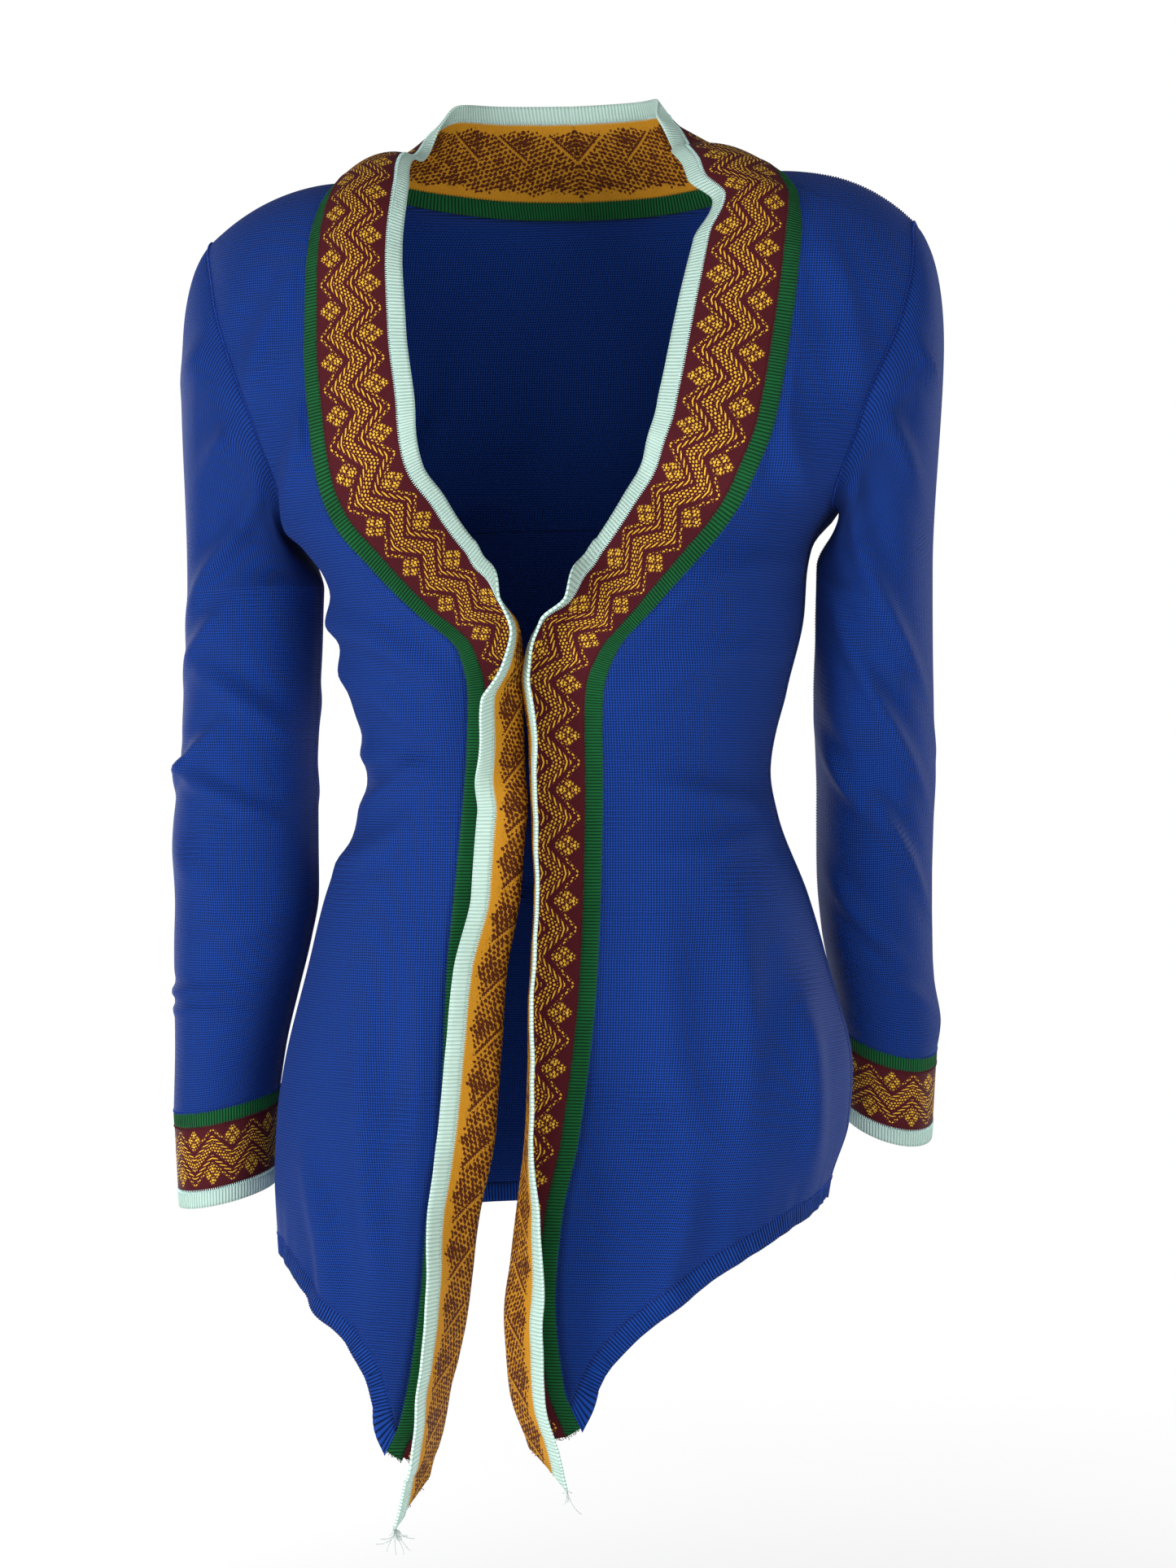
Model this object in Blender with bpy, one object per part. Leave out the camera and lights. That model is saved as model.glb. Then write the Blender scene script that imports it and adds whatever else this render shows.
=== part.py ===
"""A fine-knit cardigan in the hollow form that it has when worn.

Lengths in the tables are millimetres, and the scene is in metres. The front faces -Y, +Z is up, and the
origin lies midway between the neck ends of the two shoulder seams, where the wearer's shoulders hold it.
"left" and "right" are the sides as seen from the front: left is the -X side, right the +X side.

Every cloth piece is a wall of one thickness between two skins. The outer skin is read from a few short
tables: the form that the garment is worn over, the seams that run down its front, the band's cross
section, and the rings of the sleeves.
"""

import math

import bmesh
import bpy
import numpy as np

MM = 0.001
SIDES = {"left": -1, "right": 1}

# The wall, the gap between neighbours at a seam, and where a seam turns sharply how many times it is wider
WALL = 1.6
SEAM_GAP = 0.36
HEM_EASE = 2.6
NECK_EASE = 3.5
COLLAR_EASE = 3.0

# How much longer the hem rib is at the pointed front tip than elsewhere
RIB_TIP = 1.4

# Driving sizes
GREEN_RIB = 10.5
JACQUARD = 45.5
MINT_RIB = 10.0
BAND = GREEN_RIB + JACQUARD + MINT_RIB
HEM_RIB = 11.5
CUFF_GREEN = 9.0
CUFF_JACQUARD = 38.5
CUFF_MINT = 10.0
NECK_HALF = 123.0
SHOULDER_TIP_LEFT = (-206.0, -33.0)
SHOULDER_TIP_RIGHT = (204.0, -31.0)
RIDGE_Y = 12.0
SHOULDER_CURVE_LEFT = 2.1
SHOULDER_CURVE_RIGHT = 2.6
NECK_SLOPE = 0.43
SHOULDER_ROUND = 62.0
SQUARENESS = 2.5

# How finely the skins are divided
FRONT_COLUMNS = 8
BACK_HALF_COLUMNS = 8
JACQUARD_COLUMNS = 7
CAP_RINGS = 5


def table(columns, *rows):
    """Named columns, and a row of values for each section or fold."""
    return dict(zip(columns.split(), np.array(rows, float).T))


def smooth(values, key, column, at):
    """A column read between its rows along a smooth curve that doesn't overshoot them."""
    x, y = values[key], values[column]
    if x[0] > x[-1]:
        x, y = x[::-1], y[::-1]
    step = np.diff(x)
    rise = np.diff(y) / step
    slope = np.empty_like(y)
    slope[0], slope[-1] = rise[0], rise[-1]
    before, after = rise[:-1], rise[1:]
    same = before * after > 0
    mean = np.zeros_like(before)
    mean[same] = 2 * before[same] * after[same] / (before[same] + after[same])
    slope[1:-1] = mean
    at = np.asarray(at, float)
    i = np.clip(np.searchsorted(x, at) - 1, 0, len(step) - 1)
    inside = np.clip((at - x[i]) / step[i], 0, 1)
    h = inside * step[i]
    curve = y[i] + h * slope[i]
    bend = (rise[i] - slope[i]) / step[i]
    twist = (slope[i] + slope[i + 1] - 2 * rise[i]) / step[i] ** 2
    inner = curve + bend * h**2 + twist * h**2 * (h - step[i])
    ends = np.where(at < x[0], (at - x[0]) * slope[0], 0) + np.where(at > x[-1], (at - x[-1]) * slope[-1], 0)
    return inner + ends


# The form that the garment is worn over, by height: half widths on each side, and depths from "middle"
FORM = table(
    "height left right front back middle",
    (0, 232, 240, 74, 78, 12),
    (-45, 210, 228, 80, 88, 9),
    (-90, 203, 219, 88, 95, 6),
    (-112, 198, 216, 95, 98, 5),
    (-136, 188, 205, 103, 99, 5),
    (-158, 176, 192, 111, 98, 5),
    (-176, 163, 178, 117, 96, 5),
    (-190, 157, 163, 120, 95, 6),
    (-203, 154, 151, 123, 93, 7),
    (-214, 144, 145, 125, 91, 7),
    (-230, 132, 142, 126, 88, 7),
    (-250, 127, 141, 124, 84, 6),
    (-295, 117, 131, 113, 76, 5),
    (-341, 107, 122, 100, 72, 4),
    (-365, 112, 126, 98, 76, 4),
    (-411, 132, 143, 100, 92, 6),
    (-450, 142, 154, 105, 104, 7),
    (-510, 157, 168, 110, 115, 8),
    (-540, 161, 166, 112, 116, 8),
    (-572, 162, 156, 113, 114, 7),
    (-602, 160, 150, 113, 111, 6),
    (-650, 156, 148, 112, 108, 6),
    (-760, 154, 148, 110, 105, 6),
)

# The seam between each front and its band, by height from the tip up to the shoulder
FRONT_SEAM = table(
    "at left right",
    (-760, -90, 48),
    (-716, -77, 40),
    (-704, -71, 35),
    (-676, -64, 24),
    (-630, -57, 19.5),
    (-585, -53, 23),
    (-540, -46.5, 32),
    (-450, -43.5, 41),
    (-364, -36, 43),
    (-320, -31.5, 44),
    (-297, -30, 46),
    (-276, -34, 54),
    (-254, -59, 73),
    (-231, -84, 92.5),
    (-208, -106, 110.5),
    (-185, -118, 124),
    (-150, -124.5, 137),
    (-100, -130.5, 144),
    (-45, -132, 148),
    (-20, -130, 144),
    (-9, -127.5, 137),
    (0, -123, 123),
)

# The same seam on its way round the back of the neck
NECK_SEAM = table(
    "at x height",
    (0, 123, 0),
    (37, 103, -5),
    (75, 74, -9),
    (113, 38, -12),
    (151, 0, -13),
)

# The armhole seam seen from the front, by height from the underarm to the shoulder tip
ARMHOLE = table(
    "height left right",
    (-203, -154, 150),
    (-201.5, -153.6, 151),
    (-198, -152.8, 156),
    (-192, -151.8, 160.8),
    (-190.5, -151.7, 160.9),
    (-187, -151.7, 162.6),
    (-175, -153.5, 168.5),
    (-155, -160, 177),
    (-134, -168, 184),
    (-112, -178, 193),
    (-89, -188, 201),
    (-57, -199, 206),
    (-33, -206, 204.5),
    (-31, -206, 204),
)

# The rows of each front: where a row meets the band seam and where it meets the side seam or the armhole
LOWER_ROWS = table(
    "seam_left seam_right side_left side_right",
    (-704, -686, -602, -572),
    (-664, -652, -582, -556),
    (-620, -610, -556, -536),
    (-570, -564, -525, -512),
    (-515, -512, -488, -482),
    (-458, -458, -448, -446),
    (-405, -405, -405, -405),
    (-360, -360, -360, -360),
    (-328, -328, -328, -328),
    (-304, -304, -304, -303),
    (-288, -288, -286, -284),
    (-280, -280, -277.5, -275),
    (-272, -272, -269, -266),
    (-263, -263, -260, -256.5),
    (-254, -254, -251, -247),
    (-234, -232, -231, -228),
    (-215, -210, -214, -210),
    (-198, -192, -203, -192),
)
UPPER_ROWS = table(
    "seam_left seam_right side_left side_right",
    (-193, -187, -201.5, -190.5),
    (-187, -181, -198, -187),
    (-178, -172, -191, -181),
    (-165, -159, -182, -173),
    (-150, -144, -171, -164),
    (-132, -128, -156, -151),
    (-114, -112, -140, -137),
    (-96, -95, -124, -122),
    (-78, -78, -108, -106),
    (-61, -61, -92, -90),
    (-45, -45, -76, -74),
    (-30, -30, -61, -59),
    (-15, -15, -46, -44),
    (0, 0, -33, -31),
)

# How far the hem rises above the straight line from the side seam to the tip
HEM_RISE = table(
    "across left right",
    (0, 0, 0),
    (0.2, 15, 7),
    (0.5, 22, 16),
    (0.75, 27, 19),
    (0.9, 23, 16),
    (0.97, 10, 7),
    (1, 0, 0),
)

# The band laid open: from its seam to its mint edge, in towards the centre, back and up, and how far the
# strip bows out between the two
BAND_LIE = table(
    "at across_left across_right back_left back_right rise bow",
    (-760, 58, 65, 30, 6, 0, 1),
    (-640, 59, 65, 27, 6, 0, 1),
    (-540, 62, 65, 22, 6, 0, 1),
    (-450, 62, 65, 22, 5, 0, 1),
    (-409, 64, 65, 12, 4, 0, 1),
    (-364, 65, 65, 6, 4, 0, 1),
    (-320, 65, 65, 5, 3, 2, 2),
    (-297, 65, 65, 3, 2, 9, 2),
    (-276, 50, 50, 4, 4, 24, 2),
    (-270, 40, 38, 6, 6, 28, 2),
    (-265, 32, 34, 12, 12, 33, 2),
    (-260, 29, 34, 16, 16, 35, 2),
    (-254, 30, 35, 20, 20, 40, 2),
    (-231, 38, 41, 18, 18, 40, 3),
    (-208, 48, 49, 8, 8, 34, 4),
    (-185, 57, 57, -4, -4, 25, 4),
    (-138, 63, 65, -9, -9, 7, 5),
    (-91, 60, 64, -8, -8, 3, 6),
    (-45, 56, 60, -5, -5, -2, 8),
    (-24, 54, 48, -8, -8, 0, 9),
    (-14, 52, 59, -10, -10, 3, 9),
    (0, 43, 56, -12, -12, 12, 9),
    (37, 28, 49, -25, -25, 42, 8),
    (75, 7, 24, -27, -27, 60, 4),
    (113, -7, 6, -18, -18, 65, 3),
    (151, -5, 5, -14, -14, 66, 2),
)

# Where the band folds outwards below the closure: the fold's place from the seam, and the angle turned
FOLD_LEFT = table(
    "at place turn roll",
    (-760, 28, 134, 13),
    (-720, 26, 130, 13),
    (-700, 24, 131, 13),
    (-680, 23, 133, 13),
    (-660, 25, 138, 13),
    (-640, 26.5, 143, 13),
    (-600, 28, 150, 13),
    (-560, 30, 163, 13),
    (-540, 31, 170, 13),
    (-450, 33.5, 170, 13),
    (-409, 37.5, 172, 13),
    (-364, 37.5, 170, 13),
    (-341, 34, 150, 13),
    (-320, 32, 136, 13),
    (-297, 31, 130, 13),
    (-284, 37, 118, 14),
    (-276, 42, 108, 16),
    (-270, 44, 96, 18),
    (-265, 45, 55, 22),
    (-260, 46, 22, 26),
    (-253, 46, 0, 30),
)
FOLD_RIGHT = table(
    "at place turn roll",
    (-760, 33, 138, 13),
    (-720, 33, 140, 13),
    (-704, 31.5, 140, 13),
    (-676, 29.5, 142, 13),
    (-630, 27.5, 143, 13),
    (-608, 25, 135, 13),
    (-585, 24.5, 127, 13),
    (-540, 28, 114, 13),
    (-450, 35.5, 111, 13),
    (-409, 35, 110, 13),
    (-364, 38, 112, 13),
    (-320, 39.5, 118, 13),
    (-304, 42.5, 123, 13),
    (-290, 46, 122, 14),
    (-280, 49, 114, 16),
    (-276, 49, 106, 18),
    (-270, 46, 94, 20),
    (-265, 45, 55, 24),
    (-260, 46, 22, 28),
    (-253, 46, 0, 32),
)

# The slanted lower ends of the bands, by the distance from the seam
BAND_END = table(
    "width left right",
    (0, -716, -699),
    (11, -722, -704),
    (33, -732, -708),
    (66, -746, -727),
)

# Sleeve rings below the underarm: centres, half sizes, and how much higher the inner side lies
SLEEVE_LEFT = table(
    "height x y wide deep inner_up",
    (-236, -180, 11, 39.5, 44.5, 2),
    (-272, -181, 11, 39.5, 45.5, 0),
    (-318, -183, 11, 39.5, 44.5, 0),
    (-350, -185, 12, 41, 43.5, 0),
    (-382, -186.5, 13, 42.5, 42.5, 0),
    (-412, -186, 14, 42, 41.5, 0),
    (-440, -189, 16, 40, 40.5, 1),
    (-472, -193.5, 19, 36, 38.5, 2),
    (-504, -198, 23, 32.5, 36.5, 4),
    (-532, -201.5, 27, 31, 34.5, 6),
)
SLEEVE_RIGHT = table(
    "height x y wide deep inner_up",
    (-226, 180, 22, 33, 47.5, 2),
    (-262, 178.5, 34, 33.5, 48.5, 0),
    (-300, 177, 47, 34.5, 48.5, 0),
    (-340, 177, 60, 34.5, 47.5, 0),
    (-372, 175.5, 69, 34, 45.5, 0),
    (-402, 174.5, 77, 33.5, 43.5, 0),
    (-430, 175, 84, 32.5, 40.5, 2),
    (-458, 177, 91, 31, 37.5, 5),
    (-480, 180, 96, 31.5, 34.5, 8),
    (-494, 179.5, 100, 29.5, 32.5, 10),
)
CUFF_DROP = table(
    "side down_x down_y down_z narrowing",
    (-1, -0.5, 4, -56, 0.92),
    (1, -2.5, 16, -53, 0.94),
)

COLOURS = {
    "blue": (0.022, 0.065, 0.42),
    "green": (0.017, 0.16, 0.05),
    "jacquard": (0.33, 0.13, 0.03),
    "mint": (0.45, 0.72, 0.65),
}


def shoulder_height(x):
    """The height of the shoulder line at a distance out from the centre."""
    tip = np.where(x < 0, SHOULDER_TIP_LEFT[0], SHOULDER_TIP_RIGHT[0])
    drop = np.where(x < 0, SHOULDER_TIP_LEFT[1], SHOULDER_TIP_RIGHT[1])
    curve = np.where(x < 0, SHOULDER_CURVE_LEFT, SHOULDER_CURVE_RIGHT)
    out = (np.abs(x) - NECK_HALF) / (np.abs(tip) - NECK_HALF)
    return drop * np.clip(out, 0, 2) ** curve + NECK_SLOPE * np.clip(NECK_HALF - np.abs(x), 0, None)


def form_depth(x, z, face):
    """The y of the worn form at a place seen from the front. face is "front" or "back"."""
    x, z = np.asarray(x, float), np.asarray(z, float)
    half = np.where(x < 0, smooth(FORM, "height", "left", z), smooth(FORM, "height", "right", z))
    share = np.clip(np.abs(x) / half, 0, 1)
    round_off = (1 - share**SQUARENESS) ** (1 / SQUARENESS)
    under = np.clip((shoulder_height(x) - z) / SHOULDER_ROUND, 0, 1)
    closing = np.sqrt(np.clip(1 - (1 - under) ** 2, 0, 1))
    middle = smooth(FORM, "height", "middle", z)
    middle = RIDGE_Y + (middle - RIDGE_Y) * under
    reach = smooth(FORM, "height", face, z) * round_off * closing
    return middle + (reach if face == "back" else -reach)


def form_arc(side, z, x, count_along, face):
    """x and y along one row of the form, from its outer end to its inner end, spaced evenly round the curve."""
    half = smooth(FORM, "height", side, z)
    first = np.arccos(np.clip(np.abs(x[0]) / half[0], 0, 1) ** (SQUARENESS / 2))
    last = np.arccos(np.clip(np.abs(x[1]) / half[-1], 0, 1) ** (SQUARENESS / 2))
    angle = first + (last - first) * count_along
    across = SIDES[side] * half * np.cos(angle) ** (2 / SQUARENESS)
    return across, form_depth(across, z, face)


def form_normals(points, face):
    """Outward directions of the worn form at points on it."""
    x, z = points[..., 0], points[..., 2]
    step = 0.25
    slope_x = (form_depth(x + step, z, face) - form_depth(x - step, z, face)) / (2 * step)
    slope_z = (form_depth(x, z + step, face) - form_depth(x, z - step, face)) / (2 * step)
    outward = unit(np.stack([slope_x, -np.ones_like(slope_x), slope_z], axis=-1))
    return outward if face == "front" else -outward


def seam_point(side, at):
    """A point of the band seam: up the front by its height, then round the back of the neck by its length."""
    at = np.asarray(at, float)
    front_x = smooth(FRONT_SEAM, "at", side, at)
    neck_x = SIDES[side] * smooth(NECK_SEAM, "at", "x", np.maximum(at, 0))
    neck_z = smooth(NECK_SEAM, "at", "height", np.maximum(at, 0))
    x = np.where(at <= 0, front_x, neck_x)
    z = np.where(at <= 0, at, neck_z)
    y = np.where(at <= 0, form_depth(x, z, "front"), form_depth(x, z, "back"))
    return np.stack([x, y, z], axis=-1)


def unit(vectors):
    return vectors / np.maximum(np.linalg.norm(vectors, axis=-1, keepdims=True), 1e-9)


def band_point(side, at, along):
    """Points of the band's right face. at is the station up the band, along the distance from its seam."""
    at, along = np.broadcast_arrays(np.asarray(at, float), np.asarray(along, float))
    start = seam_point(side, at)
    toward = np.stack(
        [
            -SIDES[side] * smooth(BAND_LIE, "at", "across_" + side, at),
            smooth(BAND_LIE, "at", "back_" + side, at),
            smooth(BAND_LIE, "at", "rise", at),
        ],
        axis=-1,
    )
    chord = np.linalg.norm(toward, axis=-1)
    rail = unit(seam_point(side, at + 1.0) - seam_point(side, at - 1.0))
    out = unit(np.cross(toward, rail)) * -SIDES[side]
    toward = unit(toward)
    bow = 4 * smooth(BAND_LIE, "at", "bow", at) / chord
    fold = FOLD_LEFT if side == "left" else FOLD_RIGHT
    place = smooth(fold, "at", "place", np.minimum(at, fold["at"][-1]))
    turn = np.radians(smooth(fold, "at", "turn", np.minimum(at, fold["at"][-1])))
    roll = smooth(fold, "at", "roll", np.minimum(at, fold["at"][-1]))
    stretch = chord / BAND * bow / np.sin(bow)
    steps = 60
    point = start.copy()
    for i in range(steps):
        s = along * (i + 0.5) / steps
        rolled = np.clip((s - place) / roll + 0.5, 0, 1)
        heading = bow * (1 - 2 * s / BAND) + turn * rolled**2 * (3 - 2 * rolled)
        step = (along / steps * stretch)[..., None]
        point = point + step * (np.cos(heading)[..., None] * toward + np.sin(heading)[..., None] * out)
    return point


def pull_in(points, edges, ways=None):
    """Moves the named edges of a grid inwards by half of the seam gap. ways overrides an edge's direction."""
    ways = ways or {}
    moved = points.copy()
    half = SEAM_GAP / 2
    rails = {
        "first_row": (np.s_[0], np.s_[1]),
        "last_row": (np.s_[-1], np.s_[-2]),
        "first_column": (np.s_[:, 0], np.s_[:, 1]),
        "last_column": (np.s_[:, -1], np.s_[:, -2]),
    }
    for edge in edges:
        own, inner = rails[edge]
        way = unit(points[inner] - points[own]) if ways.get(edge) is None else ways[edge]
        moved[own] += way * half
    return moved


def cloth(name, points, normals, colour, closed=False, edges=(), ways=None):
    """A wall whose outer skin is the grid of points, with its thickness along the normals.

    edges are the ones that meet a neighbour, and closed joins the last column to the first.
    """
    outer = pull_in(points, edges, ways)
    inner = outer - normals * WALL
    rows, columns = outer.shape[:2]
    last = columns if closed else columns - 1
    mesh = bmesh.new()
    front, back = [[[mesh.verts.new(p * MM) for p in row] for row in skin] for skin in (outer, inner)]
    for r in range(rows - 1):
        for c in range(last):
            d = (c + 1) % columns
            for skin in (front, back):
                mesh.faces.new((skin[r][c], skin[r][d], skin[r + 1][d], skin[r + 1][c]))
    for r in (0, rows - 1):
        for c in range(last):
            d = (c + 1) % columns
            mesh.faces.new((front[r][c], front[r][d], back[r][d], back[r][c]))
    if not closed:
        for c in (0, columns - 1):
            for r in range(rows - 1):
                mesh.faces.new((front[r][c], front[r + 1][c], back[r + 1][c], back[r][c]))
    bmesh.ops.recalc_face_normals(mesh, faces=mesh.faces)
    if mesh.calc_volume(signed=True) < 0:
        bmesh.ops.reverse_faces(mesh, faces=mesh.faces)
    data = bpy.data.meshes.new(name)
    mesh.to_mesh(data)
    mesh.free()
    data.materials.append(knit(colour))
    data.shade_smooth()
    piece = bpy.data.objects.new(name, data)
    bpy.context.collection.objects.link(piece)
    return piece


def knit(colour):
    """A plain matt yarn of the named colour, made once."""
    name = colour + " knit"
    if name in bpy.data.materials:
        return bpy.data.materials[name]
    material = bpy.data.materials.new(name)
    material.use_nodes = True
    shader = material.node_tree.nodes["Principled BSDF"]
    shader.inputs["Base Color"].default_value = (*COLOURS[colour], 1)
    shader.inputs["Roughness"].default_value = 0.7
    return material


def rows_of(side):
    """The rows of one front from hem to shoulder: stations on the band seam and heights on the outer edge."""
    seams = np.concatenate([LOWER_ROWS["seam_" + side], UPPER_ROWS["seam_" + side]])
    sides = np.concatenate([LOWER_ROWS["side_" + side], UPPER_ROWS["side_" + side]])
    return seams, sides


def outer_x(side, height):
    """The distance out of the side seam, or of the armhole seam above the underarm."""
    underarm = LOWER_ROWS["side_" + side][-1]
    if height < underarm + 1e-6:
        return SIDES[side] * float(smooth(FORM, "height", side, height))
    return float(smooth(ARMHOLE, "height", side, height))


def armhole_out(side, points):
    """The thickness direction along an armhole: away from the middle of the opening."""
    heights = rows_of(side)[1]
    middle = (heights[-1] + LOWER_ROWS["side_" + side][-1]) / 2
    away = points - np.array([0.0, RIDGE_Y, middle])
    away[:, 0] = 0
    return unit(away)


def shoulder_seam(side, share):
    """Points of the shoulder seam, from its tip at the armhole to its neck end."""
    tip = SHOULDER_TIP_LEFT[0] if side == "left" else SHOULDER_TIP_RIGHT[0]
    x = tip + (SIDES[side] * NECK_HALF - tip) * share
    return np.stack([x, np.full_like(x, RIDGE_Y), shoulder_height(x)], axis=-1)


def armhole_ways(side, grid, own, inner):
    """The way in from a side edge: along the rows below the underarm, and straight across at the armhole."""
    start = len(LOWER_ROWS["side_" + side]) - 1
    ways = unit(grid[:, inner] - grid[:, own])
    ways[start:] = (-SIDES[side], 0, 0)
    return ways


def front_grid(side):
    """One front, from hem to shoulder and from its side seam or armhole to the band."""
    seams, sides = rows_of(side)
    share = np.linspace(0, 1, FRONT_COLUMNS + 1)
    rows = []
    for number, (at, height) in enumerate(zip(seams, sides)):
        inner = seam_point(side, at)
        outside = outer_x(side, height)
        lower = max(0.0, 1 - number / 5) ** 1.5
        z = height + (at - height) * share
        x, _ = form_arc(side, z, (outside, inner[0]), share, "front")
        along = np.clip((x - outside) / (inner[0] - outside), 0, 1)
        z = height + (at - height) * along + lower * smooth(HEM_RISE, "across", side, along)
        x, y = form_arc(side, z, (outside, inner[0]), share, "front")
        rows.append(np.stack([x, y, z], axis=-1))
    grid = np.array(rows)
    grid[:, -1] = seam_point(side, seams)
    grid[-1] = shoulder_seam(side, share)
    return grid


def back_half(side, front):
    """One half of the back, from its side seam and armhole to the centre line, on the rows of the front."""
    sides = rows_of(side)[1]
    level = (rows_of("left")[1] + rows_of("right")[1]) / 2
    share = np.linspace(0, 1, BACK_HALF_COLUMNS + 1)
    neck_column = BACK_HALF_COLUMNS // 2
    rows = []
    for number, height in enumerate(sides):
        z = np.full(BACK_HALF_COLUMNS + 1, height)
        x, _ = form_arc(side, z, (front[number, 0, 0], 0.0), share, "back")
        z = height + (level[number] - height) * share**2 * (3 - 2 * share)
        rows.append(np.stack([x, form_depth(x, z, "back"), z], axis=-1))
    grid = np.array(rows)
    top = shoulder_seam(side, np.arange(neck_column) / neck_column)
    way = np.linspace(0, NECK_SEAM["at"][-1], BACK_HALF_COLUMNS - neck_column + 1)
    top = np.concatenate([top, seam_point(side, way)])
    start = len(LOWER_ROWS["side_" + side])
    for number in range(start, len(grid)):
        pull = ((number - start + 1) / (len(grid) - start)) ** 1.6
        x = grid[number, :, 0] * (1 - pull) + top[:, 0] * pull
        z = grid[number, :, 2] + (top[:, 2] - grid[-1, :, 2]) * pull
        x[0], z[0] = grid[number, 0, 0], grid[number, 0, 2]
        y = form_depth(x, z, "back")
        grid[number] = np.stack([x, y, z], axis=-1)
    grid[-1] = top
    grid[:, 0, 1] = np.where(np.arange(len(grid)) < start, front[:, 0, 1], grid[:, 0, 1])
    return grid


def rib_below(grid, panel_normals, corner=None):
    """A narrow strip that hangs from the lowest row of a panel: its points, its normals and the way up."""
    points = grid[0]
    along = unit(np.gradient(points, axis=0))
    down = unit(np.cross(along, panel_normals[0]))
    down *= np.sign(-down[:, 2:3])
    down[0] = unit(grid[0, 0] - grid[1, 0])
    down[1] = unit(down[1] + down[0])
    if corner is None:
        down[-1] = unit(grid[0, -1] - grid[1, -1])
        down[-2] = unit(down[-2] + down[-1])
    else:
        down[-1] = corner * RIB_TIP
        down[-2] = unit(down[-2] * 0.6 + corner * 0.4) * 1.15
    rib = np.stack([points + down * HEM_RIB * share for share in (0.0, 0.5, 1.0)])
    normals = np.stack([panel_normals[0]] * 3)
    return rib, normals, -unit(down)


def band_out(side, at, along):
    """The direction out of the band's right face."""
    fine = 0.6
    rail = band_point(side, at + fine, along) - band_point(side, at - fine, along)
    into = band_point(side, at, np.minimum(along + fine, BAND)) - band_point(side, at, np.maximum(along - fine, 0))
    return unit(np.cross(unit(into), unit(rail))) * -SIDES[side]


def make_body():
    """The fronts, the back and their ribs. Gives each side's armhole, as its front and its back stretch."""
    fronts = {side: front_grid(side) for side in SIDES}
    halves = {side: back_half(side, fronts[side]) for side in SIDES}
    start = len(LOWER_ROWS["side_left"]) - 1
    edges = ("first_row", "last_row", "first_column", "last_column")
    rib_edges = ("first_row", "first_column", "last_column")
    for side, sign in SIDES.items():
        grid = fronts[side]
        seams, _ = rows_of(side)
        normals = form_normals(grid, "front")
        normals[:, -1] = band_out(side, seams, np.zeros_like(seams))
        normals[-1] = shoulder_out(grid[-1])
        normals[:start, 0] = (sign, 0, 0)
        normals[start:, 0] = armhole_out(side, grid[start:, 0])
        corner = unit(seam_point(side, seams[0] - 4) - seam_point(side, seams[0]))
        rib, rib_normals, upwards = rib_below(grid, normals, corner)
        tip = seams[0] - HEM_RIB * RIB_TIP * np.array([0, 0.5, 1])
        rib[:, -1] = seam_point(side, tip)
        rib_normals[:, -1] = band_out(side, tip, np.zeros_like(tip))
        ways = {"first_row": upwards * HEM_EASE, "first_column": armhole_ways(side, grid, 0, 1)}
        cloth("front_" + side, grid, normals, "blue", edges=edges, ways=ways)
        cloth("hem_rib_front_" + side, rib, rib_normals, "blue", edges=rib_edges)
    grid = np.concatenate([halves["left"], halves["right"][:, ::-1][:, 1:]], axis=1)
    normals = form_normals(grid, "back")
    normals[-1] = shoulder_out(grid[-1])
    neck = slice(BACK_HALF_COLUMNS // 2 + 1, -BACK_HALF_COLUMNS // 2 - 1)
    normals[-1, neck] = unit(grid[-1, neck] * (0.3, 1, 0) + (0, 0, 30))
    for column, side in ((0, "left"), (-1, "right")):
        normals[:start, column] = (SIDES[side], 0, 0)
        normals[start:, column] = armhole_out(side, grid[start:, column])
    rib, rib_normals, upwards = rib_below(grid, normals)
    down = unit(grid[-2] - grid[-1])
    down[BACK_HALF_COLUMNS // 2:-(BACK_HALF_COLUMNS // 2)] *= NECK_EASE
    ways = {
        "first_row": upwards,
        "last_row": down,
        "first_column": armhole_ways("left", grid, 0, 1),
        "last_column": armhole_ways("right", grid, -1, -2),
    }
    cloth("back", grid, normals, "blue", edges=edges, ways=ways)
    cloth("hem_rib_back", rib, rib_normals, "blue", edges=rib_edges)
    return {side: (fronts[side][start:, 0], halves[side][start:, 0]) for side in SIDES}


def shoulder_out(points):
    """The thickness direction along a shoulder seam: up, and a little out."""
    return unit(np.stack([np.sign(points[:, 0]) * 0.38, np.zeros(len(points)), np.ones(len(points))], axis=-1))


def make_band(side):
    """The three strips of a border band, from its slanted lower end to the centre of the back of the neck."""
    seams, _ = rows_of(side)
    collar = np.linspace(0, NECK_SEAM["at"][-1], 9)[1:]
    stations = np.concatenate([seams[:1], seams[:1], seams[:1], seams, collar])
    strips = {
        "green": np.linspace(0, GREEN_RIB, 2),
        "jacquard": GREEN_RIB + np.linspace(0, JACQUARD, JACQUARD_COLUMNS + 1),
        "mint": GREEN_RIB + JACQUARD + np.linspace(0, MINT_RIB, 2),
    }
    for name, widths in strips.items():
        ends = smooth(BAND_END, "width", side, widths)
        at = np.repeat(stations[:, None], len(widths), axis=1)
        for row in range(3):
            at[row] = ends + (seams[0] - ends) * row / 3
        along = np.broadcast_to(widths, at.shape)
        edges = ("last_row", "first_column") if name == "mint" else ("last_row", "first_column", "last_column")
        points = band_point(side, at, along)
        ease = np.where(stations < 0, 1.0, COLLAR_EASE)
        ways = {"first_column": unit(points[:, 1] - points[:, 0]) * ease[:, None]}
        cloth(f"band_{name}_{side}", points, band_out(side, at, along), name, edges=edges, ways=ways)


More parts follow.
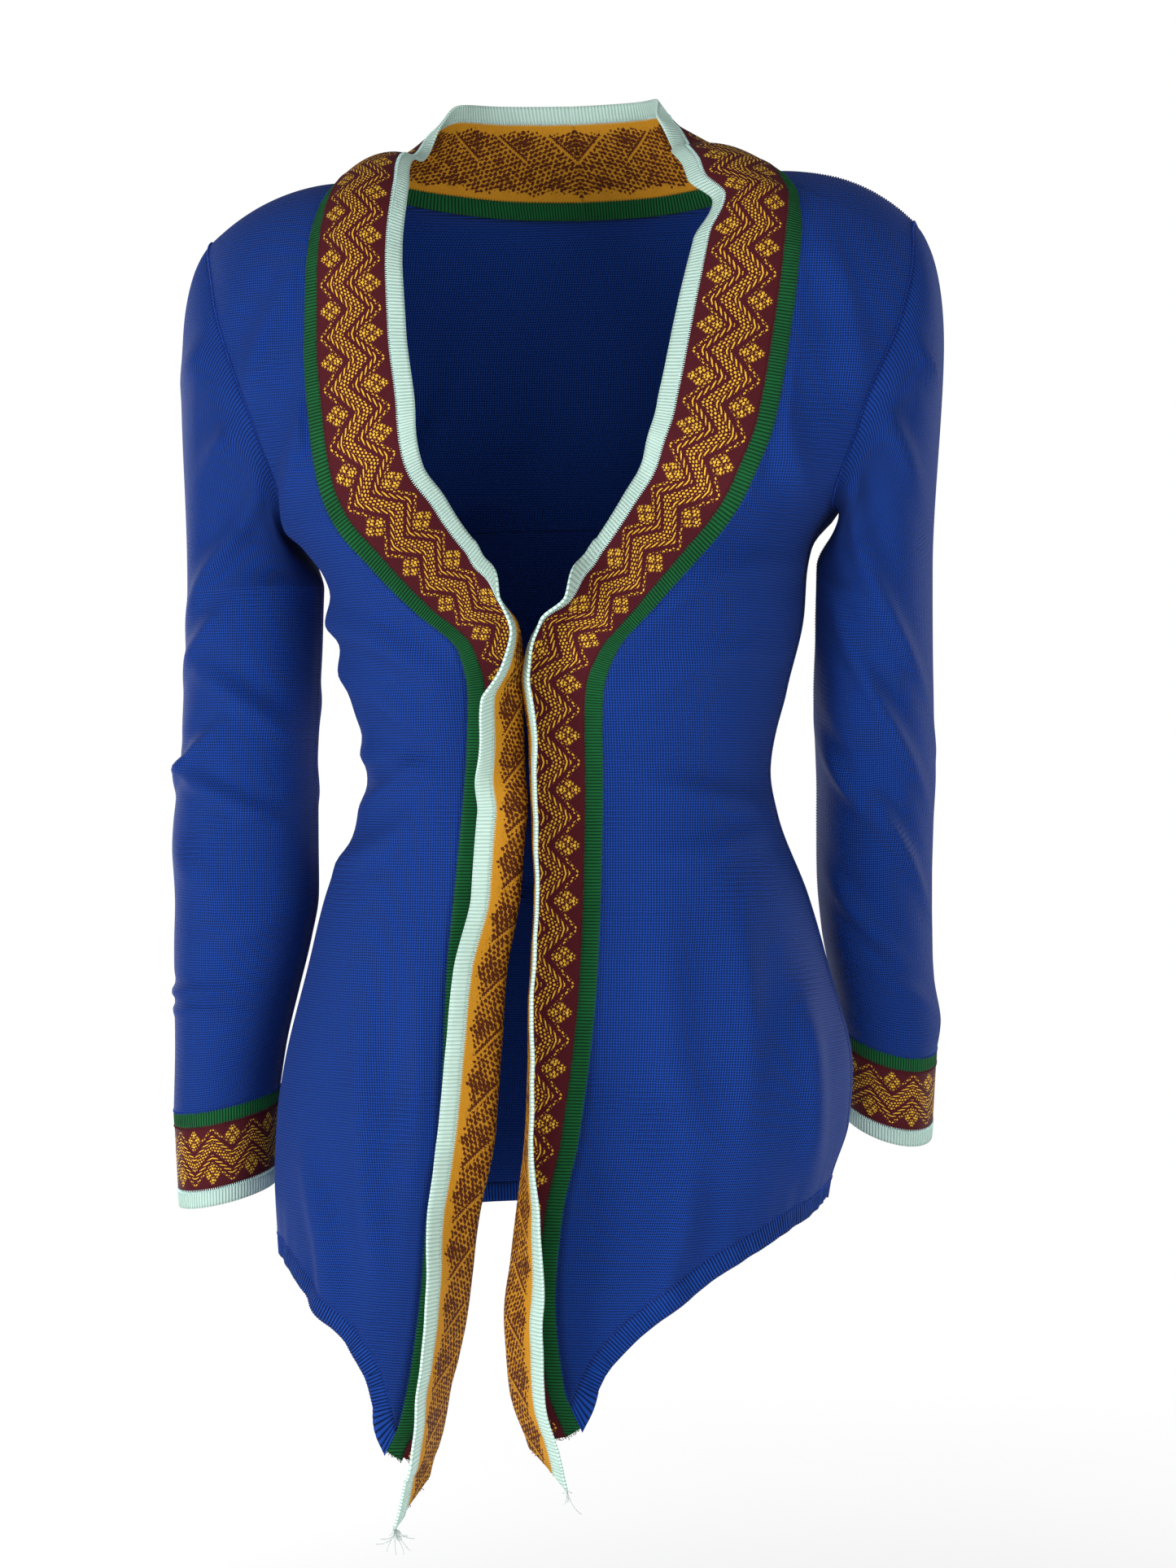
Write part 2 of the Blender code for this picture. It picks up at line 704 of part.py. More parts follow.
def way_along(points):
    """The share of a line's length that lies before each of its points."""
    steps = np.linalg.norm(np.diff(points, axis=0), axis=1)
    return np.concatenate([[0], np.cumsum(steps)]) / steps.sum()


def tube_normals(side, rings):
    """Outward directions of a tube made of rings of points, by the slopes along and round it."""
    down = np.gradient(rings, axis=0)
    wrapped = np.concatenate([rings[:, -1:], rings, rings[:, :1]], axis=1)
    across = np.gradient(wrapped, axis=1)[:, 1:-1]
    return unit(np.cross(across, down)) * SIDES[side]


def ring(side, row, angle):
    """One ring of a sleeve: starts at the outer side, then goes by the front, the inner side and the back."""
    sign = SIDES[side]
    outwards = np.cos(angle)
    forwards = np.sin(angle)
    x = row["x"] + sign * row["wide"] * outwards
    y = row["y"] - row["deep"] * forwards
    z = row["height"] - row["inner_up"] * outwards + row["pitch"] * row["deep"] * forwards
    return np.stack([x, y, z], axis=-1)


def sleeve_rings(side):
    rings = SLEEVE_LEFT if side == "left" else SLEEVE_RIGHT
    slope = np.gradient(rings["y"], rings["height"])
    return [{**{k: v[i] for k, v in rings.items()}, "pitch": float(slope[i])} for i in range(len(rings["y"]))]


def make_sleeve(side, loop):
    """A tube from the armhole seam over the cap and down to the cuff."""
    front, back = loop
    armhole = np.concatenate([front[::-1], back[1:-1]])
    angle = np.concatenate([way_along(front[::-1]), 1 + way_along(back)[1:-1]]) * math.pi
    rows = [ring(side, row, angle) for row in sleeve_rings(side)]
    sign = SIDES[side]
    top = np.array([sign * 0.42, 0.0, -0.43])
    under = np.array([sign * 0.7, 0.0, -0.5])
    mix = ((1 - np.cos(angle)) / 2)[:, None]
    leave = top * (1 - mix) + under * mix
    arrive = unit(rows[1] - rows[0])
    span = np.linalg.norm(rows[0] - armhole, axis=1)[:, None]
    cap = []
    for t in np.linspace(0, 1, CAP_RINGS + 1)[:-1]:
        a, b = 2 * t**3 - 3 * t**2 + 1, t**3 - 2 * t**2 + t
        c, d = -2 * t**3 + 3 * t**2, t**3 - t**2
        cap.append(a * armhole + b * leave * span + c * rows[0] + d * arrive * span)
    grid = np.array(cap + rows)
    normals = tube_normals(side, grid)
    normals[0] = armhole_out(side, armhole)
    ways = {"first_row": np.array([sign, 0.0, 0.0])}
    cloth("sleeve_" + side, grid, normals, "blue", closed=True, edges=("first_row", "last_row"), ways=ways)
    return rows[-1]


def make_cuff(side, top):
    """The three knitted strips of a cuff, one below the other."""
    drop = {k: v[0 if side == "left" else 1] for k, v in CUFF_DROP.items()}
    centre = top.mean(axis=0)
    down = np.array([drop["down_x"], drop["down_y"], drop["down_z"]])
    whole = CUFF_GREEN + CUFF_JACQUARD + CUFF_MINT

    def at(length):
        share = length / whole
        narrow = 1 + (drop["narrowing"] - 1) * share
        return centre + (top - centre) * np.array([narrow, narrow, 1]) + down * share

    ends = np.cumsum([0, CUFF_GREEN, CUFF_JACQUARD, CUFF_MINT])
    for number, (name, rows) in enumerate((("green", 2), ("jacquard", 4), ("mint", 2))):
        grid = np.array([at(length) for length in np.linspace(ends[number], ends[number + 1], rows)])
        edges = ("first_row",) if name == "mint" else ("first_row", "last_row")
        cloth(f"cuff_{name}_{side}", grid, tube_normals(side, grid), name, closed=True, edges=edges)


def main():
    for old in list(bpy.data.objects):
        bpy.data.objects.remove(old, do_unlink=True)
    loops = make_body()
    for side in SIDES:
        make_band(side)
        top = make_sleeve(side, loops[side])
        make_cuff(side, top)


main()
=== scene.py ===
"""The look of a fine-knit cardigan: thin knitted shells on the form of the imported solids.

Lengths in the tables are millimetres and the scene is in metres. The front faces -Y and +Z is up. "left" and
"right" are the sides as seen from the front: left is the -X side, right the +X side.
"""

import math

import bpy
import numpy as np
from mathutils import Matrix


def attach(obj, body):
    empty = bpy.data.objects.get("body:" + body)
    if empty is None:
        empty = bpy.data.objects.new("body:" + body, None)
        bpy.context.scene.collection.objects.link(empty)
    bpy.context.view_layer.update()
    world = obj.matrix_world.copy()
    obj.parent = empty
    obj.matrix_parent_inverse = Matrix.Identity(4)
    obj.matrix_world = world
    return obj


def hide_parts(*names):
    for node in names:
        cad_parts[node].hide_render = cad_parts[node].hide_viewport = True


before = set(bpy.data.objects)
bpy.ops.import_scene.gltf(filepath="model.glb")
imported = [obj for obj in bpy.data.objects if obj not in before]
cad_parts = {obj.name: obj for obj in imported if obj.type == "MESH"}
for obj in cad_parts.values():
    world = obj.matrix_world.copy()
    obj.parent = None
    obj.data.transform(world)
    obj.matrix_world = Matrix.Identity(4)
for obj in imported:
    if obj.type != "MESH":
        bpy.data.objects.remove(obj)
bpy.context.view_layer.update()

MM = 0.001
SIDES = {"left": -1, "right": 1}

# The cut
PANEL_WALL = 1.3
BAND_WALL = 1.5
GREEN_RIB = 10.5
JACQUARD = 45.5
MINT_RIB = 10.0
BAND = GREEN_RIB + JACQUARD + MINT_RIB
HEM_RIB = 11.5
CUFF_GREEN = 9.0
CUFF_JACQUARD = 38.5
CUFF_MINT = 10.0
NECK_HALF = 123.0
SHOULDER_TIP_LEFT = (-206.0, -33.0)
SHOULDER_TIP_RIGHT = (204.0, -31.0)
RIDGE_Y = 12.0
SHOULDER_CURVE_LEFT = 2.1
SHOULDER_CURVE_RIGHT = 2.6
NECK_SLOPE = 0.43
SHOULDER_ROUND = 62.0
SQUARENESS = 2.5
RIB_TIP = 1.4

# The knit
GREEN_PITCH = 1.75
MINT_PITCH = 2.1
HEM_PITCH = 1.9
REPEAT = 30.5
CUFF_REPEAT = 27.5
ZIGZAG_LINE = 21.8
ZIGZAG_SWING = 7.3

# The fineness of the meshes: the space between rows, the columns of a front and of half the back, the rings
# of a sleeve and of its cap, and the points round a cuff
MESH_STEP = 3.8
FRONT_COLUMNS = 52
BACK_COLUMNS = 48
SHOULDER_ROWS = 9
SLEEVE_RINGS = 110
CAP_RINGS = 42
CUFF_POINTS = 640

# The panels' flat sizes in metres and their cut areas in square metres
FRONT_CUT = {"flat": (0.19, 0.70), "area": 0.103}
BACK_CUT = {"flat": (0.52, 0.64), "area": 0.258}
SLEEVE_CUT = {"flat": (0.34, 0.58), "area": 0.128}


def table(columns, *rows):
    """Named columns, and a row of values for each section or fold."""
    return dict(zip(columns.split(), np.array(rows, float).T))


def smooth(values, key, column, at):
    """A column read between its rows along a smooth curve that doesn't overshoot them."""
    x, y = values[key], values[column]
    if x[0] > x[-1]:
        x, y = x[::-1], y[::-1]
    step = np.diff(x)
    rise = np.diff(y) / step
    slope = np.empty_like(y)
    slope[0], slope[-1] = rise[0], rise[-1]
    before, after = rise[:-1], rise[1:]
    same = before * after > 0
    mean = np.zeros_like(before)
    mean[same] = 2 * before[same] * after[same] / (before[same] + after[same])
    slope[1:-1] = mean
    at = np.asarray(at, float)
    i = np.clip(np.searchsorted(x, at) - 1, 0, len(step) - 1)
    inside = np.clip((at - x[i]) / step[i], 0, 1)
    h = inside * step[i]
    curve = y[i] + h * slope[i]
    bend = (rise[i] - slope[i]) / step[i]
    twist = (slope[i] + slope[i + 1] - 2 * rise[i]) / step[i] ** 2
    inner = curve + bend * h**2 + twist * h**2 * (h - step[i])
    ends = np.where(at < x[0], (at - x[0]) * slope[0], 0) + np.where(at > x[-1], (at - x[-1]) * slope[-1], 0)
    return inner + ends


# The form that the garment is worn over, by height: half widths on each side, and depths from "middle"
FORM = table(
    "height left right front back middle",
    (0, 232, 240, 74, 78, 12),
    (-45, 210, 228, 80, 88, 9),
    (-90, 203, 219, 88, 95, 6),
    (-112, 198, 216, 95, 98, 5),
    (-136, 188, 205, 103, 99, 5),
    (-158, 176, 192, 111, 98, 5),
    (-176, 163, 178, 117, 96, 5),
    (-190, 157, 163, 120, 95, 6),
    (-203, 154, 151, 123, 93, 7),
    (-214, 144, 145, 125, 91, 7),
    (-230, 132, 142, 126, 88, 7),
    (-250, 127, 141, 124, 84, 6),
    (-295, 117, 131, 113, 76, 5),
    (-341, 107, 122, 100, 72, 4),
    (-365, 112, 126, 98, 76, 4),
    (-411, 132, 143, 100, 92, 6),
    (-450, 142, 154, 105, 104, 7),
    (-510, 157, 168, 110, 115, 8),
    (-540, 161, 166, 112, 116, 8),
    (-572, 162, 156, 113, 114, 7),
    (-602, 160, 150, 113, 111, 6),
    (-650, 156, 148, 112, 108, 6),
    (-760, 154, 148, 110, 105, 6),
)

# The seam between each front and its band, by height from the tip up to the shoulder
FRONT_SEAM = table(
    "at left right",
    (-760, -90, 48),
    (-716, -77, 40),
    (-704, -71, 35),
    (-676, -64, 24),
    (-630, -57, 19.5),
    (-585, -53, 23),
    (-540, -46.5, 32),
    (-450, -43.5, 41),
    (-364, -36, 43),
    (-320, -31.5, 44),
    (-297, -30, 46),
    (-276, -34, 54),
    (-254, -59, 73),
    (-231, -84, 92.5),
    (-208, -106, 110.5),
    (-185, -118, 124),
    (-150, -124.5, 137),
    (-100, -130.5, 144),
    (-45, -132, 148),
    (-20, -130, 144),
    (-9, -127.5, 137),
    (0, -123, 123),
)

# The same seam on its way round the back of the neck
NECK_SEAM = table(
    "at x height",
    (0, 123, 0),
    (37, 103, -5),
    (75, 74, -9),
    (113, 38, -12),
    (151, 0, -13),
)

# The armhole seam seen from the front, by height from the underarm to the shoulder tip
ARMHOLE = table(
    "height left right",
    (-203, -154, 150),
    (-201.5, -153.6, 151),
    (-198, -152.8, 156),
    (-192, -151.8, 160.8),
    (-190.5, -151.7, 160.9),
    (-187, -151.7, 162.6),
    (-175, -153.5, 168.5),
    (-155, -160, 177),
    (-134, -168, 184),
    (-112, -178, 193),
    (-89, -188, 201),
    (-57, -199, 206),
    (-33, -206, 204.5),
    (-31, -206, 204),
)

# The rows of each front: where a row meets the band seam and where it meets the side seam or the armhole
LOWER_ROWS = table(
    "seam_left seam_right side_left side_right",
    (-704, -686, -602, -572),
    (-664, -652, -582, -556),
    (-620, -610, -556, -536),
    (-570, -564, -525, -512),
    (-515, -512, -488, -482),
    (-458, -458, -448, -446),
    (-405, -405, -405, -405),
    (-360, -360, -360, -360),
    (-328, -328, -328, -328),
    (-304, -304, -304, -303),
    (-288, -288, -286, -284),
    (-280, -280, -277.5, -275),
    (-272, -272, -269, -266),
    (-263, -263, -260, -256.5),
    (-254, -254, -251, -247),
    (-234, -232, -231, -228),
    (-215, -210, -214, -210),
    (-198, -192, -203, -192),
)
UPPER_ROWS = table(
    "seam_left seam_right side_left side_right",
    (-193, -187, -201.5, -190.5),
    (-187, -181, -198, -187),
    (-178, -172, -191, -181),
    (-165, -159, -182, -173),
    (-150, -144, -171, -164),
    (-132, -128, -156, -151),
    (-114, -112, -140, -137),
    (-96, -95, -124, -122),
    (-78, -78, -108, -106),
    (-61, -61, -92, -90),
    (-45, -45, -76, -74),
    (-30, -30, -61, -59),
    (-15, -15, -46, -44),
    (0, 0, -33, -31),
)

# How far the hem rises above the straight line from the side seam to the tip
HEM_RISE = table(
    "across left right",
    (0, 0, 0),
    (0.2, 15, 7),
    (0.5, 22, 16),
    (0.75, 27, 19),
    (0.9, 23, 16),
    (0.97, 10, 7),
    (1, 0, 0),
)

# The band laid open: from its seam to its mint edge, in towards the centre, back and up, and how far the
# strip bows out between the two
BAND_LIE = table(
    "at across_left across_right back_left back_right rise bow",
    (-760, 58, 65, 30, 6, 0, 1),
    (-640, 59, 65, 27, 6, 0, 1),
    (-540, 62, 65, 22, 6, 0, 1),
    (-450, 62, 65, 22, 5, 0, 1),
    (-409, 64, 65, 12, 4, 0, 1),
    (-364, 65, 65, 6, 4, 0, 1),
    (-320, 65, 65, 5, 3, 2, 2),
    (-297, 65, 65, 3, 2, 9, 2),
    (-276, 50, 50, 4, 4, 24, 2),
    (-270, 40, 38, 6, 6, 28, 2),
    (-265, 32, 34, 12, 12, 33, 2),
    (-260, 29, 34, 16, 16, 35, 2),
    (-254, 30, 35, 20, 20, 40, 2),
    (-231, 38, 41, 18, 18, 40, 3),
    (-208, 48, 49, 8, 8, 34, 4),
    (-185, 57, 57, -4, -4, 25, 4),
    (-138, 63, 65, -9, -9, 7, 5),
    (-91, 60, 64, -8, -8, 3, 6),
    (-45, 56, 60, -5, -5, -2, 8),
    (-24, 54, 48, -8, -8, 0, 9),
    (-14, 52, 59, -10, -10, 3, 9),
    (0, 43, 56, -12, -12, 12, 9),
    (37, 28, 49, -25, -25, 42, 8),
    (75, 7, 24, -27, -27, 60, 4),
    (113, -7, 6, -18, -18, 65, 3),
    (151, -5, 5, -14, -14, 66, 2),
)

# Where the band folds outwards below the closure: the fold's place from the seam, and the angle turned
FOLD_LEFT = table(
    "at place turn roll",
    (-760, 28, 134, 13),
    (-720, 26, 130, 13),
    (-700, 24, 131, 13),
    (-680, 23, 133, 13),
    (-660, 25, 138, 13),
    (-640, 26.5, 143, 13),
    (-600, 28, 150, 13),
    (-560, 30, 163, 13),
    (-540, 31, 170, 13),
    (-450, 33.5, 170, 13),
    (-409, 37.5, 172, 13),
    (-364, 37.5, 170, 13),
    (-341, 34, 150, 13),
    (-320, 32, 136, 13),
    (-297, 31, 130, 13),
    (-284, 37, 118, 14),
    (-276, 42, 108, 16),
    (-270, 44, 96, 18),
    (-265, 45, 55, 22),
    (-260, 46, 22, 26),
    (-253, 46, 0, 30),
)
FOLD_RIGHT = table(
    "at place turn roll",
    (-760, 33, 138, 13),
    (-720, 33, 140, 13),
    (-704, 31.5, 140, 13),
    (-676, 29.5, 142, 13),
    (-630, 27.5, 143, 13),
    (-608, 25, 135, 13),
    (-585, 24.5, 127, 13),
    (-540, 28, 114, 13),
    (-450, 35.5, 111, 13),
    (-409, 35, 110, 13),
    (-364, 38, 112, 13),
    (-320, 39.5, 118, 13),
    (-304, 42.5, 123, 13),
    (-290, 46, 122, 14),
    (-280, 49, 114, 16),
    (-276, 49, 106, 18),
    (-270, 46, 94, 20),
    (-265, 45, 55, 24),
    (-260, 46, 22, 28),
    (-253, 46, 0, 32),
)

# The slanted lower ends of the bands, by the distance from the seam
BAND_END = table(
    "width left right",
    (0, -716, -699),
    (11, -722, -704),
    (33, -732, -708),
    (66, -746, -727),
)

# Sleeve rings below the underarm: centres, half sizes, and how much higher the inner side lies
SLEEVE_LEFT = table(
    "height x y wide deep inner_up",
    (-236, -180, 11, 39.5, 44.5, 2),
    (-272, -181, 11, 39.5, 45.5, 0),
    (-318, -183, 11, 39.5, 44.5, 0),
    (-350, -185, 12, 41, 43.5, 0),
    (-382, -186.5, 13, 42.5, 42.5, 0),
    (-412, -186, 14, 42, 41.5, 0),
    (-440, -189, 16, 40, 40.5, 1),
    (-472, -193.5, 19, 36, 38.5, 2),
    (-504, -198, 23, 32.5, 36.5, 4),
    (-532, -201.5, 27, 31, 34.5, 6),
)
SLEEVE_RIGHT = table(
    "height x y wide deep inner_up",
    (-226, 180, 22, 33, 47.5, 2),
    (-262, 178.5, 34, 33.5, 48.5, 0),
    (-300, 177, 47, 34.5, 48.5, 0),
    (-340, 177, 60, 34.5, 47.5, 0),
    (-372, 175.5, 69, 34, 45.5, 0),
    (-402, 174.5, 77, 33.5, 43.5, 0),
    (-430, 175, 84, 32.5, 40.5, 2),
    (-458, 177, 91, 31, 37.5, 5),
    (-480, 180, 96, 31.5, 34.5, 8),
    (-494, 179.5, 100, 29.5, 32.5, 10),
)
CUFF_DROP = table(
    "side down_x down_y down_z narrowing",
    (-1, -0.5, 4, -56, 0.92),
    (1, -2.5, 16, -53, 0.94),
)


def shoulder_height(x):
    """The height of the shoulder line at a distance out from the centre."""
    tip = np.where(x < 0, SHOULDER_TIP_LEFT[0], SHOULDER_TIP_RIGHT[0])
    drop = np.where(x < 0, SHOULDER_TIP_LEFT[1], SHOULDER_TIP_RIGHT[1])
    curve = np.where(x < 0, SHOULDER_CURVE_LEFT, SHOULDER_CURVE_RIGHT)
    out = (np.abs(x) - NECK_HALF) / (np.abs(tip) - NECK_HALF)
    return drop * np.clip(out, 0, 2) ** curve + NECK_SLOPE * np.clip(NECK_HALF - np.abs(x), 0, None)


def form_depth(x, z, face):
    """The y of the worn form at a place seen from the front. face is "front" or "back"."""
    x, z = np.asarray(x, float), np.asarray(z, float)
    half = np.where(x < 0, smooth(FORM, "height", "left", z), smooth(FORM, "height", "right", z))
    share = np.clip(np.abs(x) / half, 0, 1)
    round_off = (1 - share**SQUARENESS) ** (1 / SQUARENESS)
    under = np.clip((shoulder_height(x) - z) / SHOULDER_ROUND, 0, 1)
    closing = np.sqrt(np.clip(1 - (1 - under) ** 2, 0, 1))
    middle = smooth(FORM, "height", "middle", z)
    middle = RIDGE_Y + (middle - RIDGE_Y) * under
    reach = smooth(FORM, "height", face, z) * round_off * closing
    return middle + (reach if face == "back" else -reach)


def form_arc(side, z, x, share, face):
    """x and y along a row of the form, at shares of the way round from its outer to its inner end."""
    half = smooth(FORM, "height", side, z)
    first = np.arccos(np.clip(np.abs(x[0]) / half[0], 0, 1) ** (SQUARENESS / 2))
    last = np.arccos(np.clip(np.abs(x[1]) / half[-1], 0, 1) ** (SQUARENESS / 2))
    angle = first + (last - first) * share
    across = SIDES[side] * half * np.cos(angle) ** (2 / SQUARENESS)
    return across, form_depth(across, z, face)


def form_normals(points, face):
    """Outward directions of the worn form at points on it."""
    x, z = points[..., 0], points[..., 2]
    step = 0.25
    slope_x = (form_depth(x + step, z, face) - form_depth(x - step, z, face)) / (2 * step)
    slope_z = (form_depth(x, z + step, face) - form_depth(x, z - step, face)) / (2 * step)
    outward = unit(np.stack([slope_x, -np.ones_like(slope_x), slope_z], axis=-1))
    return outward if face == "front" else -outward


def seam_point(side, at):
    """A point of the band seam: up the front by its height, then round the back of the neck by its length."""
    at = np.asarray(at, float)
    front_x = smooth(FRONT_SEAM, "at", side, at)
    neck_x = SIDES[side] * smooth(NECK_SEAM, "at", "x", np.maximum(at, 0))
    neck_z = smooth(NECK_SEAM, "at", "height", np.maximum(at, 0))
    x = np.where(at <= 0, front_x, neck_x)
    z = np.where(at <= 0, at, neck_z)
    y = np.where(at <= 0, form_depth(x, z, "front"), form_depth(x, z, "back"))
    return np.stack([x, y, z], axis=-1)


def unit(vectors):
    """Vectors of length 1 in the same directions."""
    return vectors / np.maximum(np.linalg.norm(vectors, axis=-1, keepdims=True), 1e-9)


def band_point(side, at, along):
    """Points of the band's right face. at is the station up the band, along the distance from its seam."""
    at, along = np.broadcast_arrays(np.asarray(at, float), np.asarray(along, float))
    start = seam_point(side, at)
    toward = np.stack(
        [
            -SIDES[side] * smooth(BAND_LIE, "at", "across_" + side, at),
            smooth(BAND_LIE, "at", "back_" + side, at),
            smooth(BAND_LIE, "at", "rise", at),
        ],
        axis=-1,
    )
    chord = np.linalg.norm(toward, axis=-1)
    rail = unit(seam_point(side, at + 1.0) - seam_point(side, at - 1.0))
    out = unit(np.cross(toward, rail)) * -SIDES[side]
    toward = unit(toward)
    bow = 4 * smooth(BAND_LIE, "at", "bow", at) / chord
    fold = FOLD_LEFT if side == "left" else FOLD_RIGHT
    place = smooth(fold, "at", "place", np.minimum(at, fold["at"][-1]))
    turn = np.radians(smooth(fold, "at", "turn", np.minimum(at, fold["at"][-1])))
    roll = smooth(fold, "at", "roll", np.minimum(at, fold["at"][-1]))
    stretch = chord / BAND * bow / np.sin(bow)
    steps = 60
    point = start.copy()
    for i in range(steps):
        s = along * (i + 0.5) / steps
        rolled = np.clip((s - place) / roll + 0.5, 0, 1)
        heading = bow * (1 - 2 * s / BAND) + turn * rolled**2 * (3 - 2 * rolled)
        step = (along / steps * stretch)[..., None]
        point = point + step * (np.cos(heading)[..., None] * toward + np.sin(heading)[..., None] * out)
    return point


def band_out(side, at, along):
    """The direction out of the band's right face."""
    fine = 0.6
    rail = band_point(side, at + fine, along) - band_point(side, at - fine, along)
    further, nearer = np.minimum(along + fine, BAND), np.maximum(along - fine, 0)
    into = band_point(side, at, further) - band_point(side, at, nearer)
    return unit(np.cross(unit(into), unit(rail))) * -SIDES[side]


def soft(edge_low, edge_high, value):
    """0 below the first edge, 1 above the second, and a smooth step between them."""
    share = np.clip((value - edge_low) / (edge_high - edge_low), 0, 1)
    return share**2 * (3 - 2 * share)


def lengths(points):
    """The length of a line of points up to each of them."""
    steps = np.linalg.norm(np.diff(points, axis=0), axis=-1)
    return np.concatenate([[0], np.cumsum(steps)])


# The panels

TOP_ROW = 31
UNDERARM_ROW = 17
HEM_ROW = 5
ROWS = {
    side: {
        "row": np.arange(TOP_ROW + 1.0),
        "seam": np.concatenate([LOWER_ROWS["seam_" + side], UPPER_ROWS["seam_" + side]]),
        "side": np.concatenate([LOWER_ROWS["side_" + side], UPPER_ROWS["side_" + side]]),
    }
    for side in SIDES
}


def panel_rows():
    """Rows of the mesh, as shares of the table's rows: evenly spaced, and closer just below the shoulder."""
    rows = []
    for row, gap in enumerate(np.diff(ROWS["left"]["seam"])[:-1]):
        count = math.ceil(gap / MESH_STEP)
        rows.append(row + np.arange(count) / count)
    rows.append(TOP_ROW - 1 + np.linspace(0, 1, SHOULDER_ROWS) ** 0.7)
    return np.concatenate(rows)


PANEL_ROWS = panel_rows()
ARMHOLE_START = int(np.searchsorted(PANEL_ROWS, UNDERARM_ROW))


def outer_x(side, row):
    """x and height of the side seam on a row, or of the armhole seam above the underarm."""
    height = float(smooth(ROWS[side], "row", "side", row))
    if row <= UNDERARM_ROW:
        return SIDES[side] * float(smooth(FORM, "height", side, height)), height
    return float(smooth(ARMHOLE, "height", side, height)), height


def armhole_out(side, points):
    """The thickness direction along an armhole: away from the middle of the opening."""
    heights = ROWS[side]["side"]
    away = points - np.array([0.0, RIDGE_Y, (heights[-1] + heights[UNDERARM_ROW]) / 2])
    away[:, 0] = 0
    return unit(away)


def shoulder_seam(side, share):
    """Points of the shoulder seam, from its tip at the armhole to its neck end."""
    tip = SHOULDER_TIP_LEFT[0] if side == "left" else SHOULDER_TIP_RIGHT[0]
    x = tip + (SIDES[side] * NECK_HALF - tip) * share
    return np.stack([x, np.full_like(x, RIDGE_Y), shoulder_height(x)], axis=-1)


def shoulder_out(points):
    """The thickness direction along a shoulder seam: up, and a little out."""
    lean = 0.38
    level, up = np.zeros(len(points)), np.ones(len(points))
    return unit(np.stack([np.sign(points[:, 0]) * lean, level, up], axis=-1))


def front_grid(side, columns):
    """The front panel on the form, from hem to shoulder and from the side seam to the band's seam."""
    share = np.linspace(0, 1, columns + 1)
    top = shoulder_seam(side, share)
    grid = []
    for row in PANEL_ROWS:
        at = float(smooth(ROWS[side], "row", "seam", row))
        inner = seam_point(side, at)
        outside, height = outer_x(side, row)
        lower = max(0.0, 1 - row / HEM_ROW) ** 1.5
        ends = (outside, float(inner[0]))
        x, _ = form_arc(side, height + (at - height) * share, ends, share, "front")
        along = np.clip((x - outside) / (inner[0] - outside), 0, 1)
        z = height + (at - height) * along + lower * smooth(HEM_RISE, "across", side, along)
        x, _ = form_arc(side, z, ends, share, "front")
        last = np.clip(row - (TOP_ROW - 1), 0, 1)
        x = x * (1 - last) + top[:, 0] * last
        z = z * (1 - last**2) + shoulder_height(x) * last**2
        line = np.stack([x, form_depth(x, z, "front"), z], axis=-1)
        line[-1] = inner
        grid.append(line)
    grid[-1] = top
    return np.array(grid)


def back_half(side, columns):
    """One half of the back, from its side seam and armhole to the centre line."""
    level = {
        "row": ROWS["left"]["row"],
        "side": (ROWS["left"]["side"] + ROWS["right"]["side"]) / 2,
    }
    share = np.linspace(0, 1, columns + 1)
    neck = columns // 2
    way = np.linspace(0, NECK_SEAM["at"][-1], columns - neck + 1)
    top = np.concatenate([shoulder_seam(side, np.arange(neck) / neck), seam_point(side, way)])
    height = outer_x(side, TOP_ROW)[1]
    last_z = height + (float(level["side"][-1]) - height) * soft(0, 1, share)
    grid = []
    for row in PANEL_ROWS:
        outside, height = outer_x(side, row)
        x, _ = form_arc(side, np.full(columns + 1, height), (outside, 0.0), share, "back")
        z = height + (float(smooth(level, "row", "side", row)) - height) * soft(0, 1, share)
        pull = np.clip((row - UNDERARM_ROW) / (TOP_ROW - UNDERARM_ROW), 0, 1) ** 1.6
        x = x * (1 - pull) + top[:, 0] * pull
        z = z + (top[:, 2] - last_z) * pull
        x[0], z[0] = outside, height
        grid.append(np.stack([x, form_depth(x, z, "back"), z], axis=-1))
    grid[-1] = top
    return np.array(grid)


def panel_uv(grid, inner_x):
    """Pattern coordinates in millimetres: round the body from the centre line, and down from the shoulder."""
    across = np.linalg.norm(np.diff(grid, axis=1), axis=-1)
    across = np.concatenate([np.zeros((len(grid), 1)), np.cumsum(across, axis=1)], axis=1)
    return np.stack([across - across[:, -1:] - np.abs(inner_x)[:, None], grid[..., 2]], axis=-1)


def rows_of(values):
    """The rows of a table, each with its columns' names."""
    return [dict(zip(values, row)) for row in zip(*values.values())]


def profile(across, width, widening, trough):
    """The rise across a crease: a ridge, wider on its far side, and half as deep a trough beyond it."""
    reach = np.where(across > 0, width * widening, width)
    ridge = np.exp(-((across / reach) ** 2))
    dip = np.exp(-(((across - trough * width) / (1.4 * width)) ** 2))
    return ridge - 0.5 * dip


